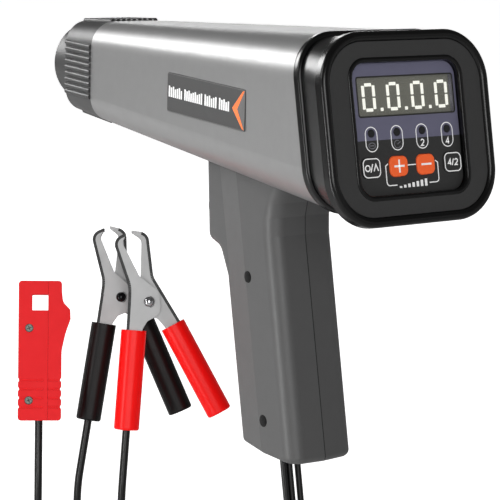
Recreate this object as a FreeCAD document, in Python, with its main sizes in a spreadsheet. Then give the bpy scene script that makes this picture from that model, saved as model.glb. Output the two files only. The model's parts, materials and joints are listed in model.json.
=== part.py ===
import FreeCAD, Part
import math
import os
import re
import Sketcher

from FreeCAD import Placement, Rotation, Vector

# Hand-held timing light with a digital display, two battery clips and an inductive pickup clamp.
#
# Frame: the barrel's axis is the Y axis and the lamp faces +Y. The display faces -Y, +X is to the right of a
# person reading the display, and +Z is up. The origin is the centre of the display rim's front plane, on the
# barrel's axis. Sizes are in millimetres and degrees.

os.makedirs("parts", exist_ok=True)
doc = FreeCAD.newDocument("timing_light")
sheet = doc.addObject("Spreadsheet::Sheet", "Sizes")

SIZES = (
    # display end
    ("display_tilt", "12.5"),
    ("rim_half_width", "41"),
    ("rim_half_height", "37.5"),
    ("rim_corner", "20.6"),
    ("rim_depth", "5"),
    ("rim_width", "4"),
    ("face_recess", "1.2"),
    ("window_half_width", "26.4"),
    ("window_half_height", "25.6"),
    ("window_corner", "6.4"),
    ("panel_recess", "3.8"),
    ("panel_thickness", "2.4"),
    ("panel_flange", "1.2"),
    ("panel_gap", "0.15"),
    ("digit_window_x", "1.2"),
    ("digit_window_y", "12.6"),
    ("digit_window_half_width", "23.7"),
    ("digit_window_half_height", "7.6"),
    ("digit_pitch", "12"),
    ("digit_middle_x", "3.1"),
    ("digit_half_width", "2.55"),
    ("digit_half_height", "4.85"),
    ("digit_stroke", "1.25"),
    ("key_pitch", "13.4"),
    ("key_row_x", "0.9"),
    ("key_row_y", "=-14.6"),
    ("key_width", "8.7"),
    ("key_height", "7.8"),
    ("key_corner", "2.4"),
    ("key_gap", "0.15"),
    ("key_proud", "0.7"),
    ("key_travel", "0.6"),
    ("lamp_pitch", "12.5"),
    ("lamp_row_y", "=-1.4"),
    ("lamp_row_x", "1.2"),
    ("lamp_radius", "1.5"),
    ("board_depth", "11"),
    ("board_thickness", "1.6"),
    # barrel
    ("ring_front", "18.4"),
    ("ring_depth", "4.6"),
    ("ring_proud", "0.7"),
    ("housing_floor", "15"),
    ("screw_x", "27"),
    ("upper_screw_rise", "24.3"),
    ("lower_screw_drop", "22.8"),
    ("barrel_rear", "=ring_front + ring_depth"),
    ("barrel_front", "208"),
    ("barrel_half_width", "38"),
    ("barrel_half_height", "34.8"),
    ("barrel_corner", "17.7"),
    ("front_half_width", "23.3"),
    ("front_half_height", "23.3"),
    ("front_corner", "11.9"),
    ("wall", "2.4"),
    ("neck_gap", "0.8"),
    ("label_rear", "63"),
    ("label_front", "130.5"),
    ("label_half_height", "8.4"),
    ("label_recess", "0.6"),
    ("board_level", "=-16"),
    ("board_rear", "58"),
    ("board_front", "192"),
    ("board_half_width", "17"),
    ("board_post_x", "12"),
    # lamp end
    ("collar_front", "235"),
    ("collar_end_half", "21.5"),
    ("collar_end_corner", "11"),
    ("rib_pitch", "2.9"),
    ("rib_count", "9"),
    ("rib_radius", "1.15"),
    ("rib_slope", "=atan((front_half_width - collar_end_half) / (collar_front - barrel_front))"),
    ("nose_radius", "19.1"),
    ("nose_front", "252"),
    ("lens_radius", "16.4"),
    ("lens_thickness", "2.4"),
    ("lens_recess", "2.6"),
    ("bore_radius", "18.1"),
    # handle
    ("handle_lean", "12.3"),
    ("handle_middle", "98"),
    ("handle_half_width", "17"),
    ("handle_front_half", "13.9"),
    ("handle_rear_half", "16.3"),
    ("handle_front_edge", "20.7"),
    ("handle_rear_edge", "21"),
    ("handle_bottom", "=-148"),
    ("flare_start", "=-38.5"),
    ("flare_height", "19.4"),
    ("flare_radius", "26"),
    ("handle_cavity_half", "11.5"),
    ("handle_wall", "2.6"),
    ("switch_block_half", "14.5"),
    ("spigot_half", "10.8"),
    ("spigot_rear", "77"),
    ("spigot_front", "102"),
    ("spigot_drop", "3.5"),
    ("trigger_half_width", "8"),
    ("trigger_top", "=-39.5"),
    ("trigger_foot", "=-60.5"),
    ("trigger_nose", "131"),
    ("trigger_back", "111"),
    ("spring_seat", "100"),
    ("upper_screw_y", "84"),
    ("upper_screw_z", "=-73.9"),
    ("lower_screw_y", "69.3"),
    ("lower_screw_z", "=-133.3"),
    ("lead_exit_y", "72"),
    # leads
    ("thin_lead_radius", "1.4"),
    ("thick_lead_radius", "1.95"),
    ("lead_inside_grip", "22"),
    ("lead_below_grip", "24"),
    ("lead_inside_sleeve", "8"),
    ("lead_below_sleeve", "34"),
    ("lead_bend", "60"),
    ("joint_radius", "2.9"),
    ("joint_length", "14"),
    # accessories
    ("accessory_turn", "35"),
    ("accessory_plane", "252"),
    ("clip_turn", "31.3"),
    ("clip_tilt", "13"),
    ("clamp_turn", "28.4"),
    ("clamp_tilt", "14.5"),
    ("clip_width", "9.6"),
    ("clip_sheet", "1"),
    ("clip_play", "0.1"),
    ("rivet_radius", "1.6"),
    ("sleeve_length", "50"),
    ("sleeve_half", "6.3"),
    ("clamp_width", "21.6"),
    ("clamp_height", "70"),
    ("clamp_thickness", "18"),
    ("clamp_slide_width", "6.6"),
    ("clamp_window", "8"),
    ("clamp_window_top", "6.8"),
)

NAMES = set()
for row, (name, value) in enumerate(SIZES, start=1):
    sheet.set("A%d" % row, name)
    sheet.set("B%d" % row, value)
    sheet.setAlias("B%d" % row, name)
    NAMES.add(name)
doc.recompute()


def bind(text):
    """The expression text with each size's name pointing at the sheet."""
    return re.sub(r"[a-z][a-z_0-9]*", pointed, text)


def pointed(word):
    """One word of an expression, with the sheet's name in front of it if it is a size."""
    name = word.group()
    return "Sizes." + name if name in NAMES else name


def number(text):
    """The value of an expression in the sheet's sizes, as a plain number."""
    return float(sheet.evalExpression(bind(text)))


# ---------------------------------------------------------------- building blocks

BODIES = []


def new_body(label, placement=None):
    """An empty body for one sub-part."""
    body = doc.addObject("PartDesign::Body", label)
    body.Label = label
    body.AllowCompound = True
    if placement is not None:
        body.Placement = placement
    BODIES.append(body)
    return body


def new_sketch(body, name, plane="XY_Plane", lift="0", shift="0", slide="0", tip_back="0", swing="0"):
    """A sketch on one of the body's own planes.

    It is moved along the plane's normal (lift), its vertical axis (shift) and its horizontal axis (slide),
    then turned about its horizontal axis (tip_back) or its vertical one (swing).
    """
    sketch = body.newObject("Sketcher::SketchObject", body.Label + "_" + name)
    origin_plane = [f for f in body.Origin.OriginFeatures if f.Role == plane][0]
    sketch.AttachmentSupport = [(origin_plane, "")]
    sketch.MapMode = "FlatFace"
    facing = Rotation(Vector(1, 0, 0), -number(tip_back)) * Rotation(Vector(0, 1, 0), -number(swing))
    sketch.AttachmentOffset = Placement(Vector(number(slide), number(shift), number(lift)), facing)
    sketch.setExpression("AttachmentOffset.Base.x", bind(slide))
    sketch.setExpression("AttachmentOffset.Base.y", bind(shift))
    sketch.setExpression("AttachmentOffset.Base.z", bind(lift))
    return sketch


def hold(sketch, item, end, x_text, y_text):
    """Ties a point of the sketch to the position that the two expressions give."""
    for kind, text, axis in (("DistanceX", x_text, -2), ("DistanceY", y_text, -1)):
        value = number(text)
        if abs(value) < 1e-7:
            sketch.addConstraint(Sketcher.Constraint("PointOnObject", item, end, axis))
            continue
        if value > 0:
            index = sketch.addConstraint(Sketcher.Constraint(kind, -1, 1, item, end, value))
            sketch.setExpression("Constraints[%d]" % index, bind(text))
            continue
        index = sketch.addConstraint(Sketcher.Constraint(kind, item, end, -1, 1, -value))
        sketch.setExpression("Constraints[%d]" % index, bind("-(" + text + ")"))


def outline(sketch, corners):
    """A closed outline through corners (x, y), or (x, y, radius) for a rounded one, all given as texts."""
    points = [Vector(number(c[0]), number(c[1]), 0) for c in corners]
    count = len(points)
    radii = [number(c[2]) if len(c) > 2 else 0.0 for c in corners]
    starts = list(points)
    ends = points[1:] + points[:1]
    arcs = {}
    for i in range(count):
        if radii[i] <= 0:
            continue
        here = points[i]
        inward = (here - points[i - 1]).normalize()
        onward = (points[(i + 1) % count] - here).normalize()
        turn = math.acos(max(-1.0, min(1.0, inward.dot(onward))))
        cut = radii[i] * math.tan(turn / 2)
        left = inward.x * onward.y - inward.y * onward.x > 0
        side = 1 if left else -1
        first = here - inward * cut
        last = here + onward * cut
        centre = first + Vector(-inward.y, inward.x, 0) * side * radii[i]
        ends[i - 1] = first
        starts[i] = last
        low, high = (first, last) if left else (last, first)
        angle_low = math.atan2(low.y - centre.y, low.x - centre.x)
        angle_high = math.atan2(high.y - centre.y, high.x - centre.x)
        circle = Part.Circle(centre, Vector(0, 0, 1), radii[i])
        arcs[i] = (Part.ArcOfCircle(circle, angle_low, angle_high), left)
    lines = [sketch.addGeometry(Part.LineSegment(starts[i], ends[i]), False) for i in range(count)]
    for i in range(count):
        before = lines[i - 1]
        after = lines[i]
        if i not in arcs:
            sketch.addConstraint(Sketcher.Constraint("Coincident", before, 2, after, 1))
            hold(sketch, after, 1, corners[i][0], corners[i][1])
            continue
        shape, left = arcs[i]
        arc = sketch.addGeometry(shape, False)
        corner = sketch.addGeometry(Part.Point(points[i]), True)
        near_end, far_end = (1, 2) if left else (2, 1)
        sketch.addConstraint(Sketcher.Constraint("Tangent", before, 2, arc, near_end))
        sketch.addConstraint(Sketcher.Constraint("Tangent", arc, far_end, after, 1))
        sketch.addConstraint(Sketcher.Constraint("PointOnObject", corner, 1, before))
        sketch.addConstraint(Sketcher.Constraint("PointOnObject", corner, 1, after))
        hold(sketch, corner, 1, corners[i][0], corners[i][1])
        index = sketch.addConstraint(Sketcher.Constraint("Radius", arc, radii[i]))
        sketch.setExpression("Constraints[%d]" % index, bind(corners[i][2]))


def rectangle(sketch, half_width, half_height, radius="0", x="0", y="0"):
    """A rectangle about (x, y), with rounded corners if a radius is given."""
    signs = ((1, -1), (1, 1), (-1, 1), (-1, -1))
    corners = []
    for across, along in signs:
        corner_x = "%s %s (%s)" % (x, "+" if across > 0 else "-", half_width)
        corner_y = "%s %s (%s)" % (y, "+" if along > 0 else "-", half_height)
        corners.append((corner_x, corner_y, radius))
    outline(sketch, corners)


def circle(sketch, radius, x="0", y="0"):
    """A circle about (x, y)."""
    centre = Vector(number(x), number(y), 0)
    item = sketch.addGeometry(Part.Circle(centre, Vector(0, 0, 1), number(radius)), False)
    hold(sketch, item, 3, x, y)
    index = sketch.addConstraint(Sketcher.Constraint("Radius", item, number(radius)))
    sketch.setExpression("Constraints[%d]" % index, bind(radius))


def extrude(body, sketch, length, kind, forward):
    """A pad or pocket of the sketch; forward means along the sketch's normal."""
    feature = body.newObject("PartDesign::" + kind, sketch.Name + "_" + kind.lower())
    feature.Profile = sketch
    feature.Length = number(length)
    feature.setExpression("Length", bind(length))
    feature.Reversed = forward if kind == "Pocket" else not forward
    body.Tip = feature
    return feature


def pad(body, sketch, length, forward=True):
    """Adds the sketch's area, drawn out along its normal, or against it."""
    return extrude(body, sketch, length, "Pad", forward)


def pocket(body, sketch, length, forward=False):
    """Cuts the sketch's area, against its normal, or along it."""
    return extrude(body, sketch, length, "Pocket", forward)


def turn(body, sketch, axis="V_Axis"):
    """The sketch's area turned fully round one of the sketch's axes."""
    feature = body.newObject("PartDesign::Revolution", sketch.Name + "_turned")
    feature.Profile = sketch
    feature.ReferenceAxis = (sketch, [axis])
    feature.Angle = 360
    body.Tip = feature
    return feature


def loft(body, first, second, kind="AdditiveLoft"):
    """The shape between two sketches."""
    feature = body.newObject("PartDesign::" + kind, first.Name + "_loft")
    feature.Profile = first
    feature.Sections = [second]
    feature.Ruled = True
    body.Tip = feature
    return feature


def row_of(body, feature, sketch, axis, length, count):
    """The feature repeated in a straight row along one of its sketch's axes."""
    pattern = body.newObject("PartDesign::LinearPattern", feature.Name + "_row")
    pattern.Originals = [feature]
    pattern.Direction = (sketch, [axis])
    pattern.Length = number(length)
    pattern.setExpression("Length", bind(length))
    pattern.Occurrences = int(number(count))
    pattern.setExpression("Occurrences", bind(count))
    body.Tip = pattern
    return pattern


def fillet(body, radius, wanted):
    """Rounds the edges of the body's tip whose middle and direction pass the test."""
    doc.recompute()
    base = body.Tip
    chosen = []
    for index, edge in enumerate(base.Shape.Edges, start=1):
        middle = edge.valueAt((edge.FirstParameter + edge.LastParameter) / 2)
        if wanted(middle, edge):
            chosen.append("Edge%d" % index)
    feature = body.newObject("PartDesign::Fillet", body.Label + "_fillet_%d" % len(body.Group))
    feature.Base = (base, chosen)
    feature.Radius = number(radius)
    feature.setExpression("Radius", bind(radius))
    body.Tip = feature
    return feature


# ---------------------------------------------------------------- display end

TILTED = Placement(Vector(0, 0, 0), Rotation(Vector(1, 0, 0), 90 - number("display_tilt")))
CORNERS = (
    ("screw_x", "upper_screw_rise"),
    ("-screw_x", "upper_screw_rise"),
    ("screw_x", "-lower_screw_drop"),
    ("-screw_x", "-lower_screw_drop"),
)


def depth(text):
    """Lift of a plane parallel to the display that cuts the barrel's axis that far behind the rim."""
    return "-(%s) * cos(display_tilt)" % text


def rise(text):
    """How far up that plane the barrel's axis is."""
    return "(%s) * sin(display_tilt)" % text


def display_rim():
    body = new_body("display_rim", TILTED)
    ring = new_sketch(body, "ring", lift="-rim_depth")
    rectangle(ring, "rim_half_width", "rim_half_height", "rim_corner")
    rectangle(ring, "rim_half_width - rim_width", "rim_half_height - rim_width", "rim_corner - rim_width")
    pad(body, ring, "rim_depth")
    fillet(body, "rim_width * 0.46", lambda middle, edge: abs(middle.z) < 0.01)


def display_housing():
    """The flared neck between the seal ring and the rim, with a floor that carries the display board."""
    body = new_body("display_housing", TILTED)
    near = new_sketch(body, "near", lift="-rim_depth")
    rectangle(near, "rim_half_width - 1.4", "rim_half_height - 1.4", "rim_corner - 1.4")
    far = new_sketch(body, "far", lift=depth("ring_front"), shift=rise("ring_front"))
    far_size = ("barrel_half_width - neck_gap", "barrel_half_height - neck_gap", "barrel_corner - neck_gap")
    rectangle(far, *far_size)
    loft(body, near, far)
    mouth = new_sketch(body, "mouth", lift="-rim_depth")
    rectangle(mouth, "rim_half_width - 5", "rim_half_height - 5", "rim_corner - 5")
    floor = new_sketch(body, "floor", lift=depth("housing_floor"), shift=rise("housing_floor"))
    rectangle(floor, "barrel_half_width - 3", "barrel_half_height - 3.2", "barrel_corner - 2.7")
    loft(body, mouth, floor, "SubtractiveLoft")
    posts = new_sketch(body, "posts", lift=depth("housing_floor") + " - 1")
    for x_text, y_text in (("23", "19"), ("-23", "19"), ("20", "-22"), ("-20", "-22")):
        circle(posts, "3", x_text, y_text)
    pad(body, posts, "1 + housing_floor * cos(display_tilt) - board_depth - board_thickness")
    way = new_sketch(body, "way", lift=depth("ring_front") + " - 1", shift=rise("ring_front"))
    rectangle(way, "barrel_half_width - 18", "barrel_half_height - 20", "4")
    pocket(body, way, "6", forward=True)
    holes = new_sketch(body, "holes", lift=depth("ring_front") + " - 1", shift=rise("barrel_rear"))
    for x_text, y_text in CORNERS:
        circle(holes, "1.6", x_text, y_text)
    pocket(body, holes, "6", forward=True)


def seal_ring():
    """The soft bead between the barrel and the display housing."""
    body = new_body("seal_ring", TILTED)
    middle_rise = rise("ring_front + ring_depth / 2")
    ring = new_sketch(body, "ring", lift=depth("barrel_rear"), shift=middle_rise)
    corner = "barrel_corner + ring_proud"
    rectangle(ring, "barrel_half_width + ring_proud", "barrel_half_height + ring_proud", corner)
    rectangle(ring, "barrel_half_width - 12.5", "barrel_half_height - 12.5", "barrel_corner - 12.5")
    pad(body, ring, "ring_depth * cos(display_tilt)")
    fillet(body, "ring_depth * 0.3", on_ring_outline)
    holes = new_sketch(body, "holes", lift=depth("barrel_rear") + " - 1", shift=rise("barrel_rear"))
    for x_text, y_text in CORNERS:
        circle(holes, "1.6", x_text, y_text)
    pocket(body, holes, "ring_depth + 2", forward=True)


def on_ring_outline(middle, edge):
    """True for the long edges round the outside of the seal ring."""
    across = abs(middle.x) / number("barrel_half_width")
    along = abs(middle.y - number(rise("ring_front + ring_depth / 2"))) / number("barrel_half_height")
    return edge.BoundBox.DiagonalLength > 9 and across ** 3 + along ** 3 > 0.75


def bezel():
    """The flat frame round the keypad."""
    body = new_body("bezel", TILTED)
    face = new_sketch(body, "face", lift="-rim_depth")
    inner = ("rim_half_width - rim_width", "rim_half_height - rim_width", "rim_corner - rim_width")
    rectangle(face, *inner)
    rectangle(face, "window_half_width", "window_half_height", "window_corner")
    pad(body, face, "rim_depth - face_recess")


KEYS = (("mode_key", "-1.5"), ("plus_key", "-0.5"), ("minus_key", "0.5"), ("stroke_key", "1.5"))


def key_x(place):
    """Distance of a key's middle to the right of the display's middle."""
    return "key_row_x + %s * key_pitch" % place


def panel_openings(sketch):
    """The panel's openings for the digits, the keys and the lamps."""
    rectangle(
        sketch, "digit_window_half_width", "digit_window_half_height", "1", "digit_window_x", "digit_window_y"
    )
    size = ("key_width / 2 + key_gap", "key_height / 2 + key_gap", "key_corner + key_gap")
    for name, place in KEYS:
        rectangle(sketch, size[0], size[1], size[2], key_x(place), "key_row_y")
    for place in ("-1.5", "-0.5", "0.5", "1.5"):
        circle(sketch, "lamp_radius + 0.1", "lamp_row_x + %s * lamp_pitch" % place, "lamp_row_y")


def keypad_panel():
    """The panel: a raised sheet in the bezel's window and a flange behind the bezel."""
    body = new_body("keypad_panel", TILTED)
    raised = new_sketch(body, "raised", lift="-rim_depth")
    sides = ("window_half_width - panel_gap", "window_half_height - panel_gap", "window_corner - panel_gap")
    rectangle(raised, *sides)
    panel_openings(raised)
    pad(body, raised, "rim_depth - panel_recess")
    flange = new_sketch(body, "flange", lift="-rim_depth")
    rectangle(flange, "window_half_width + 2.6", "window_half_height + 2.6", "window_corner + 2.6")
    panel_openings(flange)
    pad(body, flange, "panel_flange", forward=False)


def digit_window():
    body = new_body("digit_window", TILTED)
    pane = new_sketch(body, "pane", lift="-rim_depth - panel_flange")
    half = ("digit_window_half_width - 0.05", "digit_window_half_height - 0.05")
    rectangle(pane, half[0], half[1], "0.95", "digit_window_x", "digit_window_y")
    pad(body, pane, "panel_thickness - 0.3")


def digit_module():
    body = new_body("digit_module", TILTED)
    block = new_sketch(body, "block", lift="-board_depth")
    half = ("digit_window_half_width + 1.2", "digit_window_half_height + 1.2")
    rectangle(block, half[0], half[1], "0.6", "digit_window_x", "digit_window_y")
    pad(body, block, "board_depth - panel_recess - panel_thickness - 0.5")


def digit_segments():
    """Four lit noughts with a point after each of the first three."""
    body = new_body("digit_segments", TILTED)
    level = "-panel_recess - panel_thickness - 0.5"
    first = "digit_middle_x - 1.5 * digit_pitch"
    thin = "digit_stroke / 2"
    stroke = new_sketch(body, "stroke", lift=level)
    for sign in ("+", "-"):
        row = "digit_window_y %s digit_half_height" % sign
        rectangle(stroke, "digit_half_width - 0.95", thin, "0.2", first, row)
        for side in ("+", "-"):
            column = "%s %s digit_half_width" % (first, side)
            height = "digit_window_y %s digit_half_height / 2" % sign
            rectangle(stroke, thin, "digit_half_height / 2 - 0.3", "0.2", column, height)
    digit = pad(body, stroke, "0.2")
    row_of(body, digit, stroke, "H_Axis", "3 * digit_pitch", "4")
    dot = new_sketch(body, "dot", lift=level)
    rectangle(dot, thin, thin, "0.2", first + " + digit_pitch / 2", "digit_window_y - digit_half_height")
    point = pad(body, dot, "0.2")
    row_of(body, point, dot, "H_Axis", "2 * digit_pitch", "3")


def display_board():
    body = new_body("display_board", TILTED)
    board = new_sketch(body, "board", lift="-board_depth - board_thickness")
    rectangle(board, "rim_half_width - 8", "rim_half_height - 9", "rim_corner - 8")
    pad(body, board, "board_thickness")


def indicator_lamps():
    body = new_body("indicator_lamps", TILTED)
    lamp = new_sketch(body, "lamp", lift="-board_depth")
    circle(lamp, "lamp_radius", "lamp_row_x - 1.5 * lamp_pitch", "lamp_row_y")
    dome = pad(body, lamp, "board_depth - panel_recess + 0.3")
    row_of(body, dome, lamp, "H_Axis", "3 * lamp_pitch", "4")


def key(label, place):
    """A key cap with a flange behind the panel."""
    body = new_body(label, TILTED)
    x_text = key_x(place)
    level = "-(panel_recess + panel_thickness) - 0.1"
    cap = new_sketch(body, "cap", lift=level)
    rectangle(cap, "key_width / 2", "key_height / 2", "key_corner", x_text, "key_row_y")
    pad(body, cap, "panel_thickness + key_proud + 0.1")
    top = number("key_proud - panel_recess")
    fillet(body, "0.5", lambda middle, edge: abs(middle.z - top) < 0.01)
    flange = new_sketch(body, "flange", lift=level)
    rectangle(flange, "key_width / 2 + 1", "key_height / 2 + 1", "key_corner + 1", x_text, "key_row_y")
    pad(body, flange, "1.2", forward=False)


def key_switches():
    body = new_body("key_switches", TILTED)
    base = new_sketch(body, "base", lift="-board_depth")
    for name, place in KEYS:
        rectangle(base, "3", "3", "0.4", key_x(place), "key_row_y")
    pad(body, base, "2.4")
    button = new_sketch(body, "button", lift="-board_depth")
    for name, place in KEYS:
        circle(button, "1.7", key_x(place), "key_row_y")
    pad(body, button, "board_depth - panel_recess - panel_thickness - 1.3 - key_travel - 0.1")


def housing_screws():
    """Four screws from the display side through the housing's floor and the seal ring into the barrel."""
    body = new_body("housing_screws", TILTED)
    shank = new_sketch(body, "shank", lift=depth("housing_floor"), shift=rise("barrel_rear"))
    for x_text, y_text in CORNERS:
        circle(shank, "1.45", x_text, y_text)
    pad(body, shank, "16.5", forward=False)
    head = new_sketch(body, "head", lift=depth("housing_floor"), shift=rise("barrel_rear"))
    for x_text, y_text in CORNERS:
        circle(head, "2.5", x_text, y_text)
    pad(body, head, "1.7")


# ---------------------------------------------------------------- barrel

def barrel_share(text):
    """How far along the barrel's taper a plane across it is, from 0 at the rear to 1 at the front."""
    return "((%s) - barrel_rear) / (barrel_front - barrel_rear)" % text


def underside(text):
    """Height of the barrel's underside that far along the axis."""
    return "-barrel_half_height + (barrel_half_height - front_half_height) * " + barrel_share(text)


def barrel_housing():
    """The tapered shell, with bosses for the housing's screws, board posts and a spigot for the handle."""
    body = new_body("barrel_housing")
    rear = new_sketch(body, "rear", "XZ_Plane", "-barrel_rear", tip_back="display_tilt")
    rectangle(rear, "barrel_half_width", "barrel_half_height", "barrel_corner")
    front = new_sketch(body, "front", "XZ_Plane", "-barrel_front")
    rectangle(front, "front_half_width", "front_half_height", "front_corner")
    loft(body, rear, front)
    spigot = new_sketch(body, "spigot", "XY_Plane", "-barrel_half_height - spigot_drop")
    middle = "(spigot_rear + spigot_front) / 2"
    length = "(spigot_front - spigot_rear) / 2"
    rectangle(spigot, "spigot_half", length, "2", "0", middle)
    pad(body, spigot, "spigot_drop + 7.5")
    rear_hollow = new_sketch(body, "rear_hollow", "XZ_Plane", "-barrel_rear", tip_back="display_tilt")
    rectangle(rear_hollow, "barrel_half_width - wall", "barrel_half_height - wall", "barrel_corner - wall")
    front_hollow = new_sketch(body, "front_hollow", "XZ_Plane", "-barrel_front")
    rectangle(front_hollow, "front_half_width - wall", "front_half_height - wall", "front_corner - wall")
    loft(body, rear_hollow, front_hollow, "SubtractiveLoft")
    passage = new_sketch(body, "passage", "XY_Plane", "-barrel_half_height - spigot_drop - 1")
    rectangle(passage, "spigot_half - 2", length + " - 2", "1", "0", middle)
    pocket(body, passage, "spigot_drop + 11", forward=True)
    bosses = new_sketch(body, "bosses", "XZ_Plane", "-barrel_rear", tip_back="display_tilt")
    for x_text, y_text in CORNERS:
        circle(bosses, "6", x_text, y_text)
    pad(body, bosses, "11", forward=False)
    threads = new_sketch(body, "threads", "XZ_Plane", "-barrel_rear", tip_back="display_tilt")
    for x_text, y_text in CORNERS:
        circle(threads, "1.5", x_text, y_text)
    pocket(body, threads, "10")
    for name, place in (("rear_posts", "board_rear + 8"), ("front_posts", "board_front - 8")):
        posts = new_sketch(body, name, "XY_Plane", "board_level")
        for x_text in ("board_post_x", "-board_post_x"):
            circle(posts, "3", x_text, place)
        pad(body, posts, "board_level - (%s) - 1.2" % underside(place), forward=False)
    middle = "(label_rear + label_front) / 2"
    floor = "-(%s) + label_recess + 0.02" % side_face(middle)
    recess = new_sketch(body, "recess", "YZ_Plane", floor, slide=middle, swing=SIDE_TAPER)
    rectangle(recess, LABEL_HALF_LENGTH + " + 0.1", "label_half_height + 0.1", "1.1")
    pocket(body, recess, "3")


SIDE_TAPER = "atan((barrel_half_width - front_half_width) / (barrel_front - barrel_rear))"
LABEL_HALF_LENGTH = "(label_front - label_rear) / 2"


def side_face(text):
    """Distance from the axis to the barrel's flat side that far along the axis."""
    return "(barrel_half_width - (barrel_half_width - front_half_width) * %s)" % barrel_share(text)


def label_plate():
    """The plate let into the barrel's left side."""
    middle = "(label_rear + label_front) / 2"
    taper = number(SIDE_TAPER)
    facing = Rotation(Vector(0, 0, 1), -90 - taper) * Rotation(Vector(1, 0, 0), 90)
    centre = Vector(-number(side_face(middle)), number(middle), 0)
    inward = facing.multVec(Vector(0, 0, -number("label_recess")))
    body = new_body("label_plate", Placement(centre + inward, facing))
    plate = new_sketch(body, "plate")
    rectangle(plate, LABEL_HALF_LENGTH, "label_half_height", "1")
    pad(body, plate, "label_recess + 0.3")


# ---------------------------------------------------------------- lamp end

def front_collar():
    """The ribbed collar: it plugs into the barrel and carries the nose tube."""
    body = new_body("front_collar")
    rear = new_sketch(body, "rear", "XZ_Plane", "-barrel_front")
    rectangle(rear, "front_half_width", "front_half_height", "front_corner")
    front = new_sketch(body, "front", "XZ_Plane", "-collar_front")
    rectangle(front, "collar_end_half", "collar_end_half", "collar_end_corner")
    loft(body, rear, front)
    plug = new_sketch(body, "plug", "XZ_Plane", "-barrel_front")
    side = "front_half_width - wall - 0.1"
    rectangle(plug, side, side, "front_corner - wall - 0.1")
    pad(body, plug, "8")
    bore = new_sketch(body, "bore", "XZ_Plane", "-barrel_front + 9")
    circle(bore, "bore_radius")
    pocket(body, bore, "collar_front - barrel_front + 10")
    side_ribs(body, "left", "-")
    side_ribs(body, "right", "")
    level_ribs(body, "top", "")
    level_ribs(body, "bottom", "-")


RIB_START = "-(rib_count - 1) / 2 * rib_pitch"
RIB_LENGTH = "(collar_front - barrel_front - 1.2) / cos(rib_slope)"


def rib_row(body, rib, axis, across, up):
    """Draws the round rib out along the collar's slope and repeats it along one axis of its sketch."""
    ridge = pad(body, rib, RIB_LENGTH, forward=False)
    slope = math.radians(number("rib_slope"))
    ridge.UseCustomVector = True
    ridge.Direction = Vector(across * math.sin(slope), -math.cos(slope), up * math.sin(slope))
    row_of(body, ridge, rib, axis, "(rib_count - 1) * rib_pitch", "rib_count")


def side_ribs(body, name, sign):
    """Round ribs up one side of the collar."""
    rib = new_sketch(body, name, "XZ_Plane", "-barrel_front - 0.2")
    circle(rib, "rib_radius", sign + "front_half_width", RIB_START)
    rib_row(body, rib, "V_Axis", -1 if sign else 1, 0)


def level_ribs(body, name, sign):
    """Round ribs across the collar's top or underside."""
    rib = new_sketch(body, name, "XZ_Plane", "-barrel_front - 0.2")
    circle(rib, "rib_radius", RIB_START, sign + "front_half_height")
    rib_row(body, rib, "H_Axis", 0, -1 if sign else 1)


def nose_tube():
    """The round nose, with a long tube behind it that holds the reflector."""
    body = new_body("nose_tube")
    nose = new_sketch(body, "nose", "XZ_Plane", "-collar_front")
    circle(nose, "nose_radius")
    circle(nose, "lens_radius + 0.1")
    pad(body, nose, "nose_front - collar_front", forward=False)
    outer = number("nose_radius")
    tip = number("nose_front")
    fillet(body, "2", lambda middle, edge: abs(middle.y - tip) < 0.01 and far_out(middle, outer))
    tube = new_sketch(body, "tube", "XZ_Plane", "-collar_front")
    circle(tube, "bore_radius - 0.05")
    circle(tube, "lens_radius + 0.1")
    pad(body, tube, "22")


def far_out(middle, radius):
    """True for a point at least that far from the barrel's axis."""
    return math.hypot(middle.x, middle.z) > radius - 0.1


def front_lens():
    """The clear lens, slightly domed outwards."""
    body = new_body("front_lens")
    front = "nose_front - lens_recess"
    glass = new_sketch(body, "glass", "XZ_Plane", "-(%s) + lens_thickness" % front)
    circle(glass, "lens_radius")
    pad(body, glass, "lens_thickness", forward=False)
    face = number(front)
    fillet(body, "lens_thickness * 0.6", lambda middle, edge: abs(middle.y - face) < 0.01)


def reflector():
    """A deep bowl, open at the lens, with a hole for the flash tube."""
    body = new_body("reflector")
    bowl = new_sketch(body, "bowl", "YZ_Plane")
    outline(
        bowl,
        (
            ("collar_front - 14", "3.2"),
            ("collar_front - 11", "9.5", "5"),
            ("collar_front - 2", "14", "12"),
            ("collar_front + 11.5", "15.5"),
            ("collar_front + 11.5", "lens_radius"),
            ("collar_front - 2.5", "15", "13"),
            ("collar_front - 11.8", "10.2", "6"),
            ("collar_front - 15.2", "3.2"),
        ),
    )
    turn(body, bowl, "H_Axis")


def flash_tube():
    """The glass tube on the lamp's axis."""
    body = new_body("flash_tube")
    tube = new_sketch(body, "tube", "XZ_Plane", "-collar_front + 18.5")
    circle(tube, "2.2")
    pad(body, tube, "23", forward=False)
    tip = number("collar_front + 4.5")
    fillet(body, "1.9", lambda middle, edge: abs(middle.y - tip) < 0.01)


def tube_base():
    """The plate in the nose tube that holds the flash tube, with two pins at its back."""
    body = new_body("tube_base")
    plate = new_sketch(body, "plate", "XZ_Plane", "-collar_front + 18.5")
    circle(plate, "lens_radius")
    pad(body, plate, "3")
    pins = new_sketch(body, "pins", "XZ_Plane", "-collar_front + 21.5")
    circle(pins, "0.5", "3", "0")
    circle(pins, "0.5", "-3", "0")
    pad(body, pins, "5")


# ---------------------------------------------------------------- electronics in the barrel

BOARD_TOP = "board_level + board_thickness"


def main_board():
    body = new_body("main_board")
    board = new_sketch(body, "board", "XY_Plane", "board_level")
    middle = "(board_rear + board_front) / 2"
    rectangle(board, "board_half_width", "(board_front - board_rear) / 2", "2", "0", middle)
    for x_text in ("board_post_x", "-board_post_x"):
        for place in ("board_rear + 8", "board_front - 8"):
            circle(board, "1.4", x_text, place)
    pad(body, board, "board_thickness")


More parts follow.
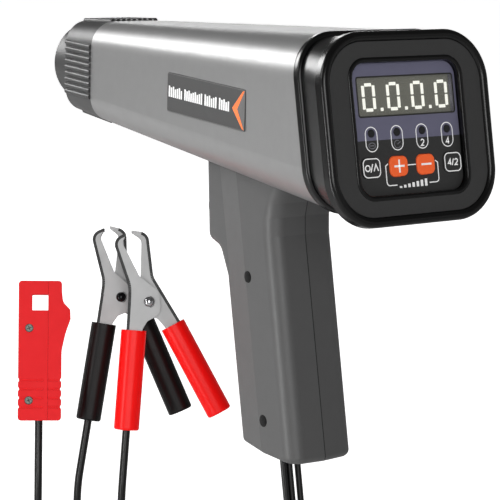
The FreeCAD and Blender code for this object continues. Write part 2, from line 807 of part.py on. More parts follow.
def board_screws():
    """Four screws through the main board into the barrel's posts."""
    body = new_body("board_screws")
    head = new_sketch(body, "head", "XY_Plane", BOARD_TOP)
    for x_text in ("board_post_x", "-board_post_x"):
        for place in ("board_rear + 8", "board_front - 8"):
            circle(head, "2.3", x_text, place)
    pad(body, head, "1.6")
    shank = new_sketch(body, "shank", "XY_Plane", BOARD_TOP)
    for x_text in ("board_post_x", "-board_post_x"):
        for place in ("board_rear + 8", "board_front - 8"):
            circle(shank, "1.35", x_text, place)
    pad(body, shank, "board_thickness", forward=False)


def transformer():
    """The inverter's transformer: a core with a wound bobbin across it."""
    body = new_body("transformer")
    core = new_sketch(body, "core", "XY_Plane", BOARD_TOP)
    rectangle(core, "11", "9", "0.8", "0", "92")
    pad(body, core, "17")
    coil = new_sketch(body, "coil", "XY_Plane", BOARD_TOP + " + 3")
    rectangle(coil, "8", "12.5", "3", "0", "92")
    pad(body, coil, "11")


def flash_capacitor():
    body = new_body("flash_capacitor")
    can = new_sketch(body, "can", "XZ_Plane", "-125")
    circle(can, "8", "0", BOARD_TOP + " + 8")
    pad(body, can, "33", forward=False)
    fillet(body, "1", lambda middle, edge: edge.BoundBox.YLength < 0.01)


def trigger_coil():
    """The small high-voltage coil that fires the flash tube."""
    body = new_body("trigger_coil")
    coil = new_sketch(body, "coil", "XZ_Plane", "-166")
    circle(coil, "4.5", "-9", BOARD_TOP + " + 4.5")
    pad(body, coil, "14", forward=False)


def board_parts():
    """Chips, a connector and small capacitors on the main board."""
    body = new_body("board_parts")
    low = new_sketch(body, "low", "XY_Plane", BOARD_TOP)
    for half_x, half_y, x_text, y_text in (
        ("5", "8", "-3.5", "68"),
        ("3", "5", "6", "66"),
        ("3.5", "5", "9", "172"),
        ("2", "4", "13.5", "118"),
    ):
        rectangle(low, half_x, half_y, "0.3", x_text, y_text)
    pad(body, low, "3.2")
    tall = new_sketch(body, "tall", "XY_Plane", BOARD_TOP)
    for x_text, y_text in (("-12.5", "112"), ("-12.5", "121"), ("0", "168")):
        circle(tall, "3.2", x_text, y_text)
    pad(body, tall, "9")


# ---------------------------------------------------------------- handle

def leaning(level, height):
    """Y of a plane that leans with the handle, at a height: level is the plane's distance from the origin."""
    return "((%s) + (%s) * sin(handle_lean)) / cos(handle_lean)" % (level, height)


def leaning_section(body, name, side, along, back="0"):
    """Half of the grip's eight-cornered section, that far along the leaning axis, with its rear moved back."""
    slide_y = "handle_middle * cos(handle_lean) + (%s) * sin(handle_lean)" % along
    slide_z = "-handle_middle * sin(handle_lean) + (%s) * cos(handle_lean)" % along
    section = new_sketch(body, name, "XY_Plane", slide_z, shift=slide_y, tip_back="handle_lean")
    rear = "-handle_rear_edge - (%s)" % back
    corners = [
        ("0", rear),
        ("handle_rear_half", rear + " + 1.4", "7"),
        ("handle_half_width", "1.2"),
        ("handle_front_half", "handle_front_edge", "3.5"),
        ("0", "handle_front_edge"),
    ]
    if side < 0:
        corners = [("-(" + c[0] + ")",) + tuple(c[1:]) if c[0] != "0" else c for c in reversed(corners)]
    outline(section, corners)
    return section


def handle_column(body, side):
    """The grip, drawn out along the leaning axis past both of its ends."""
    pad(body, leaning_section(body, "section", side, "-142"), "142")


def handle_flare(body, side):
    """The rear of the grip sweeps back on a hollow curve where it meets the barrel."""
    steps = ("0", "flare_height * 0.4", "flare_height * 0.7", "flare_height", "flare_height * 1.25")
    for i in range(1, len(steps)):
        ends = []
        for height in (steps[i - 1], steps[i]):
            back = "flare_radius - sqrt(flare_radius ^ 2 - (%s) ^ 2)" % height
            name = "flare_%d_%d" % (i, len(ends))
            ends.append(leaning_section(body, name, side, "flare_start + " + height, back))
        loft(body, ends[0], ends[1])


def switch_block(body, side):
    """The block under the barrel's front half that holds the trigger."""
    lift = "0" if side > 0 else "-switch_block_half"
    block = new_sketch(body, "block", "YZ_Plane", lift)
    outline(
        block,
        (
            ("92", "-79"),
            (leaning("handle_middle + handle_front_edge - 0.6", "-79"), "-79"),
            ("110.6", "-66.2", "6"),
            ("119.9", "-63.6", "4.5"),
            ("122.8", "-27"),
            ("92", "-27"),
        ),
    )
    pad(body, block, "switch_block_half")


def level_cuts(body):
    """Cuts the grip level at the bottom and along the barrel's underside at the top."""
    ends = new_sketch(body, "ends", "YZ_Plane", "-40")
    outline(ends, (("20", "-190"), ("110", "-190"), ("110", "handle_bottom"), ("20", "handle_bottom")))
    top = (
        ("40", underside("40") + " - 0.05"),
        ("160", underside("160") + " - 0.05"),
        ("160", "20"),
        ("40", "20"),
    )
    outline(ends, top)
    pocket(body, ends, "80", forward=True)


def handle_shell(label, side):
    """One half of the grip: side is -1 for the left half and 1 for the right half."""
    body = new_body(label)
    switch_block(body, side)
    corner_x = number("switch_block_half")
    fillet(body, "3.5", lambda middle, edge: abs(abs(middle.x) - corner_x) < 0.01 and middle.y > 104)
    handle_column(body, side)
    handle_flare(body, side)
    level_cuts(body)
    base = number("handle_bottom")
    fillet(
        body,
        "2.5",
        lambda middle, edge: abs(middle.z - base) < 0.01 and abs(middle.x) > 0.1,
    )
    hollow_handle(body, side)
    screw_bosses(body, side)
    trigger_mounts(body, side)
    front_wall = new_sketch(body, "trigger_way", "XZ_Plane", "-116.6")
    half = "trigger_half_width + 0.15"
    low = "trigger_foot - 0.2"
    high = "trigger_top + 0.2"
    far = ("-(%s)" % half) if side < 0 else half
    way = [("0", low), (far, low), (far, high), ("0", high)]
    outline(front_wall, way if side > 0 else list(reversed(way)))
    pocket(body, front_wall, "9")
    mouth = new_sketch(body, "lead_way", "XY_Plane", "handle_bottom - 1")
    far = "-7.6" if side < 0 else "7.6"
    near_y = "lead_exit_y - 3.1"
    far_y = "lead_exit_y + 4.3"
    way = [("0", near_y), (far, near_y), (far, far_y), ("0", far_y)]
    outline(mouth, way if side > 0 else list(reversed(way)))
    pocket(body, mouth, "8", forward=True)


def hollow_handle(body, side):
    """The space inside the grip and the switch block, open to the barrel at the top."""
    lift = "0" if side > 0 else "-handle_cavity_half"
    hollow = new_sketch(body, "hollow", "YZ_Plane", lift)
    rear = "handle_middle - handle_rear_edge + handle_wall"
    front = "handle_middle + handle_front_edge - handle_wall"
    floor = "handle_bottom + 5"
    outline(
        hollow,
        (
            (leaning(rear, floor), floor, "2"),
            (leaning(front, floor), floor, "2"),
            (leaning(front, "-68"), "-68"),
            ("118.2", "-62.2"),
            ("118.2", "-25"),
            (leaning(rear, "-25"), "-25"),
        ),
    )
    pocket(body, hollow, "handle_cavity_half", forward=True)


def screw_bosses(body, side):
    """Two bosses on the middle line: clear holes with sunk heads on the left, blind holes on the right."""
    lift = "0" if side > 0 else "-handle_cavity_half - 1"
    places = (("upper_screw_y", "upper_screw_z"), ("lower_screw_y", "lower_screw_z"))
    bosses = new_sketch(body, "bosses", "YZ_Plane", lift)
    for y_text, z_text in places:
        circle(bosses, "4.2", y_text, z_text)
    pad(body, bosses, "handle_cavity_half + 1")
    holes = new_sketch(body, "holes", "YZ_Plane", "0")
    for y_text, z_text in places:
        circle(holes, "1.45" if side > 0 else "1.7", y_text, z_text)
    pocket(body, holes, "11" if side > 0 else "12", forward=side > 0)
    if side < 0:
        sunk = new_sketch(body, "sunk", "YZ_Plane", "-9")
        for y_text, z_text in places:
            circle(sunk, "2.6", y_text, z_text)
        pocket(body, sunk, "12")


def trigger_mounts(body, side):
    """The wall behind the trigger's spring and the shelf under its switch."""
    lift = "0" if side > 0 else "-handle_cavity_half - 1"
    mounts = new_sketch(body, "mounts", "YZ_Plane", lift)
    outline(
        mounts,
        (
            ("spring_seat - 2", "-48.5"),
            ("spring_seat", "-48.5"),
            ("spring_seat", "trigger_top - 0.5"),
            ("spring_seat - 2", "trigger_top - 0.5"),
        ),
    )
    outline(mounts, (("88", "-61.5"), ("102", "-61.5"), ("102", "-59.6"), ("88", "-59.6")))
    pad(body, mounts, "handle_cavity_half + 1")


def trigger():
    """A finger trigger with a curved nose and a flange behind the switch block's front wall."""
    body = new_body("trigger")
    side = new_sketch(body, "side", "YZ_Plane", "-trigger_half_width")
    outline(
        side,
        (
            ("trigger_back", "trigger_foot"),
            ("121.5", "trigger_foot", "2"),
            ("trigger_nose + 1.5", "-51.5", "6"),
            ("122", "trigger_top", "4"),
            ("trigger_back", "trigger_top"),
        ),
    )
    pad(body, side, "2 * trigger_half_width")
    limit = number("trigger_half_width")
    fillet(
        body,
        "1.6",
        lambda middle, edge: abs(abs(middle.x) - limit) < 0.01 and middle.y > number("121"),
    )
    flange = new_sketch(body, "flange", "YZ_Plane", "-trigger_half_width - 1.6")
    outline(
        flange,
        (
            ("116.1", "trigger_foot - 1.1"),
            ("118.1", "trigger_foot - 1.1"),
            ("118.1", "trigger_top + 1.1"),
            ("116.1", "trigger_top + 1.1"),
        ),
    )
    pad(body, flange, "2 * trigger_half_width + 3.2")


def coil_spring(label, placement, radius, wire, length, turns):
    """A compression spring along its own Z axis, from 0 to its length."""
    body = new_body(label, placement)
    profile = new_sketch(body, "profile", "XZ_Plane")
    circle(profile, wire, radius, wire + " + 0.05")
    helix = body.newObject("PartDesign::AdditiveHelix", label + "_coil")
    helix.Profile = profile
    helix.ReferenceAxis = (profile, ["V_Axis"])
    helix.Mode = "height-turns-angle"
    helix.Height = number("%s - 2 * (%s) - 0.1" % (length, wire))
    helix.setExpression("Height", bind("%s - 2 * (%s) - 0.1" % (length, wire)))
    helix.Turns = number(turns)
    body.Tip = helix


def trigger_spring():
    seat = Placement(Vector(0, number("spring_seat"), -44), Rotation(Vector(1, 0, 0), -90))
    coil_spring("trigger_spring", seat, "2.6", "0.35", "trigger_back - spring_seat", "4")


def trigger_switch():
    body = new_body("trigger_switch")
    case = new_sketch(body, "case", "YZ_Plane", "-3.2")
    rectangle(case, "5", "4.7", "0.3", "96", "-54.8")
    pad(body, case, "6.4")
    plunger = new_sketch(body, "plunger", "XZ_Plane", "-101")
    circle(plunger, "1.2", "0", "-54.8")
    pad(body, plunger, "4.8", forward=False)


def handle_screws():
    """Two screws that clamp the grip's halves together."""
    body = new_body("handle_screws")
    places = (("upper_screw_y", "upper_screw_z"), ("lower_screw_y", "lower_screw_z"))
    head = new_sketch(body, "head", "YZ_Plane", "-9")
    for y_text, z_text in places:
        circle(head, "2.4", y_text, z_text)
    pad(body, head, "2", forward=False)
    shank = new_sketch(body, "shank", "YZ_Plane", "-9")
    for y_text, z_text in places:
        circle(shank, "1.4", y_text, z_text)
    pad(body, shank, "19")


LEADS = (("black_lead", "-4.6"), ("red_lead", "-1.6"), ("pickup_lead", "2.7"))


def lead_grommet():
    """The soft bush in the bottom of the grip that the three leads pass through."""
    body = new_body("lead_grommet")
    bush = new_sketch(body, "bush", "XY_Plane", "handle_bottom")
    rectangle(bush, "7.5", "3.6", "1", "0", "lead_exit_y + 0.6")
    pad(body, bush, "6.2")
    level = "handle_bottom - 6"
    shift = "lead_exit_y - 6 * tan(handle_lean)"
    holes = new_sketch(body, "holes", "XY_Plane", level, shift=shift, tip_back="handle_lean")
    for name, x_text in LEADS:
        circle(holes, "thin_lead_radius + 0.05", x_text)
    pocket(body, holes, "16", forward=True)


# ---------------------------------------------------------------- battery clips

def facing(turn, tilt):
    """A frame whose X runs across and whose Z looks back past the display, turned to the left and up."""
    return Rotation(Vector(0, 0, 1), -turn) * Rotation(Vector(1, 0, 0), 90 - tilt)


def hung_at(across, height, accessory, behind=0.0, turned=0.0):
    """Placement of an accessory hung below the nose, in or behind an upright plane through the lens."""
    start = Vector(0, number("accessory_plane"), 0)
    offset = facing(number("accessory_turn"), 0).multVec(Vector(across, height, -behind))
    own_facing = facing(number(accessory + "_turn"), number(accessory + "_tilt"))
    return Placement(start + offset, own_facing * Rotation(Vector(0, 0, 1), turned))


CLIPS = (
    ("red", hung_at(32.5, -120.1, "clip"), "red_lead"),
    ("black", hung_at(16.9, -123.2, "clip", 22, -5), "black_lead"),
)
SLEEVE_TOP = (-7.3, -14.4)
SLEEVE_LEAN = -3.2
CLIP_HALF = "clip_width / 2"
ARM_HALF = "(clip_width / 2 - clip_sheet - clip_play)"


def fixed_arm(name, place):
    """The arm with the outer cheeks: a hooked jaw, a lobe round the rivet and a channel for the sleeve."""
    body = new_body(name + "_fixed_jaw", place)
    plate = new_sketch(body, "plate", lift="-" + CLIP_HALF)
    outline(
        plate,
        (
            ("-11.6", "34.7", "0.4"),
            ("-18.7", "30.6", "5"),
            ("-10.3", "7.4", "14"),
            ("-10.4", "0", "20"),
            ("-11", "-14"),
            ("-12.6", "-42"),
            ("-4.6", "-42.4"),
            ("-3", "-14", "3"),
            ("-0.6", "-9.8", "2"),
            ("5.8", "-6.2", "4"),
            ("5.4", "5.2", "5"),
            ("-5", "12.7", "3"),
            ("-13.8", "29.3", "3"),
        ),
    )
    pad(body, plate, "clip_width")
    channel = new_sketch(body, "channel", lift="-" + CLIP_HALF + " + clip_sheet")
    outline(
        channel,
        (
            ("-17.3", "29.8", "4"),
            ("-9.2", "7.2", "13"),
            ("-9.4", "0", "19"),
            ("-10", "-14"),
            ("-11.7", "-45"),
            ("9", "-45"),
            ("9", "29.8"),
        ),
    )
    pocket(body, channel, "clip_width - 2 * clip_sheet", forward=True)
    hole = new_sketch(body, "hole", lift="-clip_width")
    circle(hole, "rivet_radius + 0.02")
    pocket(body, hole, "2 * clip_width", forward=True)


def moving_arm(name, place):
    """The arm between the other's cheeks, with its jaw and its slanting channel."""
    body = new_body(name + "_moving_jaw", place)
    plate = new_sketch(body, "plate", lift="-" + ARM_HALF)
    outline(
        plate,
        (
            ("-9.5", "35.6", "0.4"),
            ("-9.4", "34.5", "0.3"),
            ("-4.3", "31.2", "4"),
            ("-4.4", "13"),
            ("-5.6", "4", "3"),
            ("-4.4", "-6", "4"),
            ("4.5", "-8.4", "3"),
            ("9", "-13.5"),
            ("22.2", "-37.2"),
            ("29.2", "-33.3"),
            ("15.5", "-8.9"),
            ("2", "12.6", "8"),
            ("-1", "34.6", "5"),
        ),
    )
    pad(body, plate, "2 * " + ARM_HALF)
    channel = new_sketch(body, "channel", lift="-" + ARM_HALF + " + clip_sheet")
    outline(
        channel,
        (
            ("-12", "30.4"),
            ("-1.4", "30.4", "3"),
            ("0.9", "12.3", "7"),
            ("14.5", "-9.4"),
            ("30.4", "-37.7"),
            ("22", "-43"),
            ("-12", "-16"),
        ),
    )
    pocket(body, channel, "2 * (%s - clip_sheet)" % ARM_HALF, forward=True)
    hole = new_sketch(body, "hole", lift="-clip_width")
    circle(hole, "rivet_radius + 0.06")
    pocket(body, hole, "2 * clip_width", forward=True)


def clip_rivet(name, place):
    body = new_body(name + "_rivet", place)
    shank = new_sketch(body, "shank", lift="-" + CLIP_HALF)
    circle(shank, "rivet_radius")
    pad(body, shank, "clip_width")
    for side, level, forward in (("front", CLIP_HALF, True), ("back", "-" + CLIP_HALF, False)):
        head = new_sketch(body, side, lift=level)
        circle(head, "2.5")
        pad(body, head, "1.1", forward=forward)
    reach = number(CLIP_HALF + " + 1.1")
    fillet(body, "0.8", lambda middle, edge: abs(abs(middle.z) - reach) < 0.01)


def clip_spring(name, place):
    """A torsion spring round the rivet, with a leg along each arm."""
    label = name + "_clip_spring"
    body = new_body(label, place)
    profile = new_sketch(body, "profile", "XZ_Plane")
    circle(profile, "0.45", "3", "-1.9")
    helix = body.newObject("PartDesign::AdditiveHelix", label + "_coil")
    helix.Profile = profile
    helix.ReferenceAxis = (profile, ["V_Axis"])
    helix.Mode = "height-turns-angle"
    helix.Height = 3.8
    helix.Turns = 3.5
    body.Tip = helix
    down_moving_arm = (("2.62", "0.5"), ("10.7", "-8.1"), ("11.3", "-7.4"), ("3.3", "0.5"))
    down_fixed_arm = (("-3.4", "0.5"), ("-8.7", "-12.6"), ("-7.9", "-12.9"), ("-2.6", "0.2"))
    legs = (("low_leg", "-2.35", down_moving_arm), ("high_leg", "1.45", down_fixed_arm))
    for leg, level, corners in legs:
        bar = new_sketch(body, leg, lift=level)
        outline(bar, corners)
        pad(body, bar, "0.9")


def clip_sleeve(label, place, top, lean, with_lead):
    """A moulded sleeve over an arm's channel, its own Z axis pointing down the arm."""
    facing = Rotation(Vector(0, 0, 1), lean) * Rotation(Vector(1, 0, 0), 90)
    body = new_body(label, place * Placement(Vector(top[0], top[1], 0), facing))
    tube = new_sketch(body, "tube")
    rectangle(tube, "sleeve_half", "sleeve_half", "sleeve_half - 0.7")
    pad(body, tube, "sleeve_length")
    inside = new_sketch(body, "inside", lift="-1")
    rectangle(inside, "4.7", "clip_width / 2 + 0.1", "0.6")
    pocket(body, inside, "sleeve_length - 2", forward=True)
    if with_lead:
        hole = new_sketch(body, "hole", lift="sleeve_length + 1")
        circle(hole, "thick_lead_radius + 0.05")
        pocket(body, hole, "6")
    end = number("sleeve_length")
    fillet(body, "1", lambda middle, edge: abs(middle.z - end) < 0.01 and edge.BoundBox.DiagonalLength > 6)


def battery_clip(name, place):
    fixed_arm(name, place)
    moving_arm(name, place)
    clip_rivet(name, place)
    clip_spring(name, place)
    clip_sleeve(name + "_fixed_sleeve", place, SLEEVE_TOP, SLEEVE_LEAN, True)
    clip_sleeve(name + "_moving_sleeve", place, (12.2, -11.4), 29.2, False)


# ---------------------------------------------------------------- pickup clamp

CLAMP = hung_at(-22.1, -147.2, "clamp")
PICKUP_LEAD_X = "-0.3"
HALF_HEIGHT = "clamp_height / 2"
LEFT_EDGE = "-clamp_width / 2"
RIGHT_EDGE = "clamp_width / 2"
PART_LINE = "(clamp_width / 2 - clamp_slide_width - 0.2)"
WINDOW_TOP = "(clamp_height / 2 - clamp_window_top)"
WINDOW_FOOT = "(clamp_height / 2 - clamp_window_top - clamp_window)"
WINDOW_LEFT = "(clamp_width / 2 - clamp_slide_width - 0.2 - clamp_window)"


def box_at(sketch, low_x, high_x, low_y, high_y):
    """A plain rectangle between two corners."""
    outline(sketch, ((low_x, low_y), (high_x, low_y), (high_x, high_y), (low_x, high_y)))


def pickup_half(label, front):
    """Half of the clamp's fixed body, front or back, split at the plane through the lead."""
    body = new_body(label, CLAMP)
    shell = new_sketch(body, "shell")
    outline(
        shell,
        (
            (LEFT_EDGE, "-" + HALF_HEIGHT, "1.7"),
            (PART_LINE, "-" + HALF_HEIGHT),
            (PART_LINE, WINDOW_FOOT),
            (WINDOW_LEFT, WINDOW_FOOT, "0.4"),
            (WINDOW_LEFT, WINDOW_TOP, "0.4"),
            (PART_LINE, WINDOW_TOP),
            (PART_LINE, HALF_HEIGHT),
            (LEFT_EDGE, HALF_HEIGHT, "1.7"),
        ),
    )
    pad(body, shell, "clamp_thickness / 2", forward=front)
    core = new_sketch(body, "core_space")
    outline(core, core_corners("0.1"))
    pocket(body, core, "4.1", forward=front)
    coil = new_sketch(body, "coil_space")
    box_at(coil, "-10.05", "-4.75", "20.9", "27.6")
    pocket(body, coil, "4.9", forward=front)
    room = new_sketch(body, "rail_space")
    box_at(room, "-4.2", "2.7", "-32.5", "14.4")
    pocket(body, room, "6.2", forward=front)
    slot = new_sketch(body, "rail_slot")
    box_at(slot, "2", PART_LINE + " + 1", "-14", "14.4")
    pocket(body, slot, "1.75", forward=front)
    seat = new_sketch(body, "spring_seat")
    box_at(seat, "-4.4", "3", "-26", "-24")
    pad(body, seat, "7", forward=front)
    bosses = new_sketch(body, "bosses")
    circle(bosses, "2.8", "-5.4", "11.3")
    circle(bosses, "2.8", "-5.4", "-24.9")
    pad(body, bosses, "7", forward=front)
    holes = new_sketch(body, "screw_holes")
    circle(holes, "1.2" if front else "1.05", "-5.4", "11.3")
    circle(holes, "1.2" if front else "1.05", "-5.4", "-24.9")
    pocket(body, holes, "9" if front else "7", forward=front)
    if front:
        sunk = new_sketch(body, "sunk", lift="clamp_thickness / 2 - 1.5")
        circle(sunk, "2.1", "-5.4", "11.3")
        circle(sunk, "2.1", "-5.4", "-24.9")
        pocket(body, sunk, "3", forward=True)
    lead = new_sketch(body, "lead_way", "XZ_Plane", "clamp_height / 2 + 1")
    circle(lead, "thick_lead_radius + 0.05", PICKUP_LEAD_X, "0")
    pocket(body, lead, "9", forward=False)
    level = "clamp_thickness / 2 - 0.6" if front else "-clamp_thickness / 2 + 0.6"
    ridge = new_sketch(body, "ridges", lift=level)
    box_at(ridge, LEFT_EDGE + " - 1", "1.8", "-28.7", "-27.8")
    cut = pocket(body, ridge, "2", forward=front)
    row_of(body, cut, ridge, "V_Axis", "13.5", "4")
    scallop_edge(body, "-(clamp_width / 2 + 0.8)")


def scallop_edge(body, x_text):
    """Four round notches up the outer edge, one at each ridge."""
    notch = new_sketch(body, "notch", lift="-clamp_thickness")
    circle(notch, "1.35", x_text, "-28.25")
    cut = pocket(body, notch, "2 * clamp_thickness", forward=True)
    row_of(body, cut, notch, "V_Axis", "13.5", "4")


def core_corners(gap):
    """Corners of the C-shaped ferrite round the window, grown by a gap."""
    right = PART_LINE + " - 0.1 + " + gap
    return (
        ("-9.2 - " + gap, "15.4 - " + gap),
        (right, "15.4 - " + gap),
        (right, "19.2 + " + gap),
        ("-5.6 + " + gap, "19.2 + " + gap),
        ("-5.6 + " + gap, "29.2 - " + gap),
        (right, "29.2 - " + gap),
        (right, "33 + " + gap),
        ("-9.2 - " + gap, "33 + " + gap),
    )


def pickup_core():
    body = new_body("pickup_core", CLAMP)
    core = new_sketch(body, "core", lift="-4")
    outline(core, core_corners("0"))
    pad(body, core, "8")


def pickup_coil():
    body = new_body("pickup_coil", CLAMP)
    coil = new_sketch(body, "coil", "XZ_Plane", "-21")
    rectangle(coil, "2.55", "4.8", "0.5", "-7.4", "0")
    rectangle(coil, "1.85", "4.05", "0", "-7.4", "0")
    pad(body, coil, "6.5", forward=False)


def pickup_slide():
    """The sliding side with the thumb rest; a tee rail keeps it on the body."""
    body = new_body("pickup_slide", CLAMP)
    left = PART_LINE + " + 0.04"
    side = new_sketch(body, "side", lift="-clamp_thickness / 2")
    outline(
        side,
        (
            (left, "-" + HALF_HEIGHT),
            (RIGHT_EDGE, "-" + HALF_HEIGHT, "1.7"),
            (RIGHT_EDGE, "0", "18"),
            ("12.8", "9", "30"),
            ("15.2", "15.8", "1.6"),
            ("15", "20.6", "1.4"),
            ("11.4", "24.4", "5"),
            (RIGHT_EDGE, "30", "12"),
            (RIGHT_EDGE, HALF_HEIGHT, "1.7"),
            (left, HALF_HEIGHT),
        ),
    )
    pad(body, side, "clamp_thickness")
    neck = new_sketch(body, "neck", lift="-1.6")
    box_at(neck, "1.5", left + " + 1", "2", "14")
    pad(body, neck, "3.2")
    tee = new_sketch(body, "tee", lift="-2.6")
    box_at(tee, "-1.6", "1.9", "2", "14")
    pad(body, tee, "5.2")
    keeper = new_sketch(body, "keeper_space", lift="-4.1")
    box_at(keeper, left + " - 1", "7.8", "15.3", "33.1")
    pocket(body, keeper, "8.2", forward=True)
    for name, level, forward in (
        ("front_ridges", "clamp_thickness / 2 - 0.6", True),
        ("back_ridges", "-clamp_thickness / 2 + 0.6", False),
    ):
        ridge = new_sketch(body, name, lift=level)
        box_at(ridge, left + " - 1", RIGHT_EDGE + " + 1", "-28.7", "-27.8")
        cut = pocket(body, ridge, "2", forward=forward)
        row_of(body, cut, ridge, "V_Axis", "13.5", "4")
    scallop_edge(body, "clamp_width / 2 + 0.8")


def pickup_keeper():
    """The ferrite bar in the slide that closes the core."""
    body = new_body("pickup_keeper", CLAMP)
    bar = new_sketch(body, "bar", lift="-4")
    box_at(bar, PART_LINE + " + 0.2", "7.7", "15.4", "33")
    pad(body, bar, "8")


def pickup_spring():
    seat = CLAMP * Placement(Vector(0.2, -24, 0), Rotation(Vector(1, 0, 0), -90))
    coil_spring("pickup_spring", seat, "1.8", "0.3", "26", "12")


def pickup_screws():
    body = new_body("pickup_screws", CLAMP)
    head = new_sketch(body, "head", lift="clamp_thickness / 2 - 1.5")
    shank = new_sketch(body, "shank", lift="clamp_thickness / 2 - 1.5")
    for y_text in ("11.3", "-24.9"):
        circle(head, "2", "-5.4", y_text)
        circle(shank, "1", "-5.4", y_text)
    pad(body, head, "1.2")
    pad(body, shank, "14", forward=False)


# ---------------------------------------------------------------- leads

DOWN = Vector(0, 0, -1)
LOOPS = {"red_lead": (190, 228, 270), "black_lead": (199, 234, 281), "pickup_lead": (210, 240, 293)}


def straight(start, end):
    return Part.LineSegment(start, end).toShape()


def bend(start, before, after, radius):
    """An arc that leaves a point along one direction and ends along another, with the point where it ends."""
    across = (after - before * before.dot(after)).normalize()
    centre = start + across * radius
    angle = before.getAngle(after)
    points = []
    for turned in (angle / 2, angle):
        spoke = before * math.sin(turned) - across * math.cos(turned)
        points.append(centre + spoke * radius)
    return Part.Arc(start, points[0], points[1]).toShape(), points[1]


def rod(path, radius):
    """A round rod along a path of edges."""
    start = path[0].valueAt(path[0].FirstParameter)
    along = path[0].tangentAt(path[0].FirstParameter)
    ring = Part.Wire([Part.Circle(start, along, radius).toShape()])
    return Part.Wire(path).makePipeShell([ring], True, True)


def hanging_stretch(start, direction, length, low):
    """Edges from a point along a direction, round to straight down, and on down to a height."""
    bend_start = start + direction * length
    arc, below = bend(bend_start, direction, DOWN, number("lead_bend"))
    foot = Vector(below.x, below.y, low)
    return [straight(start, bend_start), arc, straight(below, foot)], foot


def lead(label, exit_x, end, outward):
    """A lead from inside the grip, down in a hanging loop and up to an accessory.

    The three numbers of its loop are depths below the barrel's axis: where it starts to turn on the grip's
    side, where it does on the accessory's side, and its foot, where a joint makes the thin part thick.
    """
    near_turn, far_turn, foot = LOOPS[label]
    lean = math.radians(number("handle_lean"))
    leaning_down = Vector(0, -math.sin(lean), -math.cos(lean))
    way_out = Vector(number(exit_x), number("lead_exit_y"), number("handle_bottom"))
    inside = number("lead_inside_grip")
    start = way_out - leaning_down * inside
    thin_path, near = hanging_stretch(start, leaning_down, inside + number("lead_below_grip"), -near_turn)
    thick_path, far = hanging_stretch(end, outward, number("lead_below_sleeve"), -far_turn)
    onward = Vector(far.x - near.x, far.y - near.y, 0).normalize()
    near_arc, near_foot = bend(near, DOWN, onward, foot - near_turn)
    far_arc, far_foot = bend(far, DOWN, -onward, foot - far_turn)
    middle = (near_foot + far_foot) * 0.5
    half_joint = number("joint_length") / 2
    thin = rod(thin_path + [near_arc, straight(near_foot, middle)], number("thin_lead_radius"))
    thick = rod(thick_path + [far_arc, straight(far_foot, middle)], number("thick_lead_radius"))
    joint = Part.makeCylinder(number("joint_radius"), 2 * half_joint, middle - onward * half_joint, onward)
    ends = [edge for edge in joint.Edges if edge.Closed]
    item = doc.addObject("Part::Feature", label)
    item.Label = label
    item.Shape = thin.fuse([thick, joint.makeFillet(1, ends)])
    item.Placement = Placement()
    BODIES.append(item)


def leads():
    """The two battery leads and the pickup clamp's lead."""
    for name, place, label in CLIPS:
        lean = math.radians(SLEEVE_LEAN)
        outward = Vector(math.sin(lean), -math.cos(lean), 0)
        depth_in = number("sleeve_length - lead_inside_sleeve")
        end = place.multVec(Vector(SLEEVE_TOP[0], SLEEVE_TOP[1], 0) + outward * depth_in)
        lead(label, dict(LEADS)[label], end, place.Rotation.multVec(outward))
    end = CLAMP.multVec(Vector(number(PICKUP_LEAD_X), -28, 0))
    lead("pickup_lead", dict(LEADS)["pickup_lead"], end, CLAMP.Rotation.multVec(Vector(0, -1, 0)))


# ---------------------------------------------------------------- build, check and write

display_rim()
display_housing()
seal_ring()
bezel()
keypad_panel()
digit_window()
digit_module()
digit_segments()
display_board()
indicator_lamps()
for key_name, key_place in KEYS:
    key(key_name, key_place)
key_switches()
housing_screws()
barrel_housing()
label_plate()
front_collar()
nose_tube()
front_lens()
reflector()
flash_tube()
tube_base()
main_board()
board_screws()
transformer()
flash_capacitor()
trigger_coil()
board_parts()
handle_shell("left_grip", -1)
handle_shell("right_grip", 1)
trigger()
trigger_spring()
trigger_switch()
handle_screws()
lead_grommet()
for clip_name, clip_place, clip_lead in CLIPS:
    battery_clip(clip_name, clip_place)
pickup_half("pickup_front", True)
pickup_half("pickup_back", False)
pickup_core()
pickup_coil()
pickup_slide()
pickup_keeper()
pickup_spring()
pickup_screws()
leads()
doc.recompute()

faults = []
for item in doc.Objects:
    if "Invalid" in item.State or "Error" in item.State:
        faults.append("%s: %s" % (item.Name, item.State))
for item in BODIES:
    if item.Shape.isNull() or not item.Shape.isValid():
        faults.append("%s: null or invalid shape" % item.Label)
if faults:
    raise RuntimeError("\n".join(faults))
for item in BODIES:
    item.Shape.exportStep("parts/%s.step" % item.Label)
    print("%-22s %2d solids %10.1f mm3" % (item.Label, len(item.Shape.Solids), item.Shape.Volume))
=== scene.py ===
import json
import math

import bpy
from mathutils import Matrix, Vector

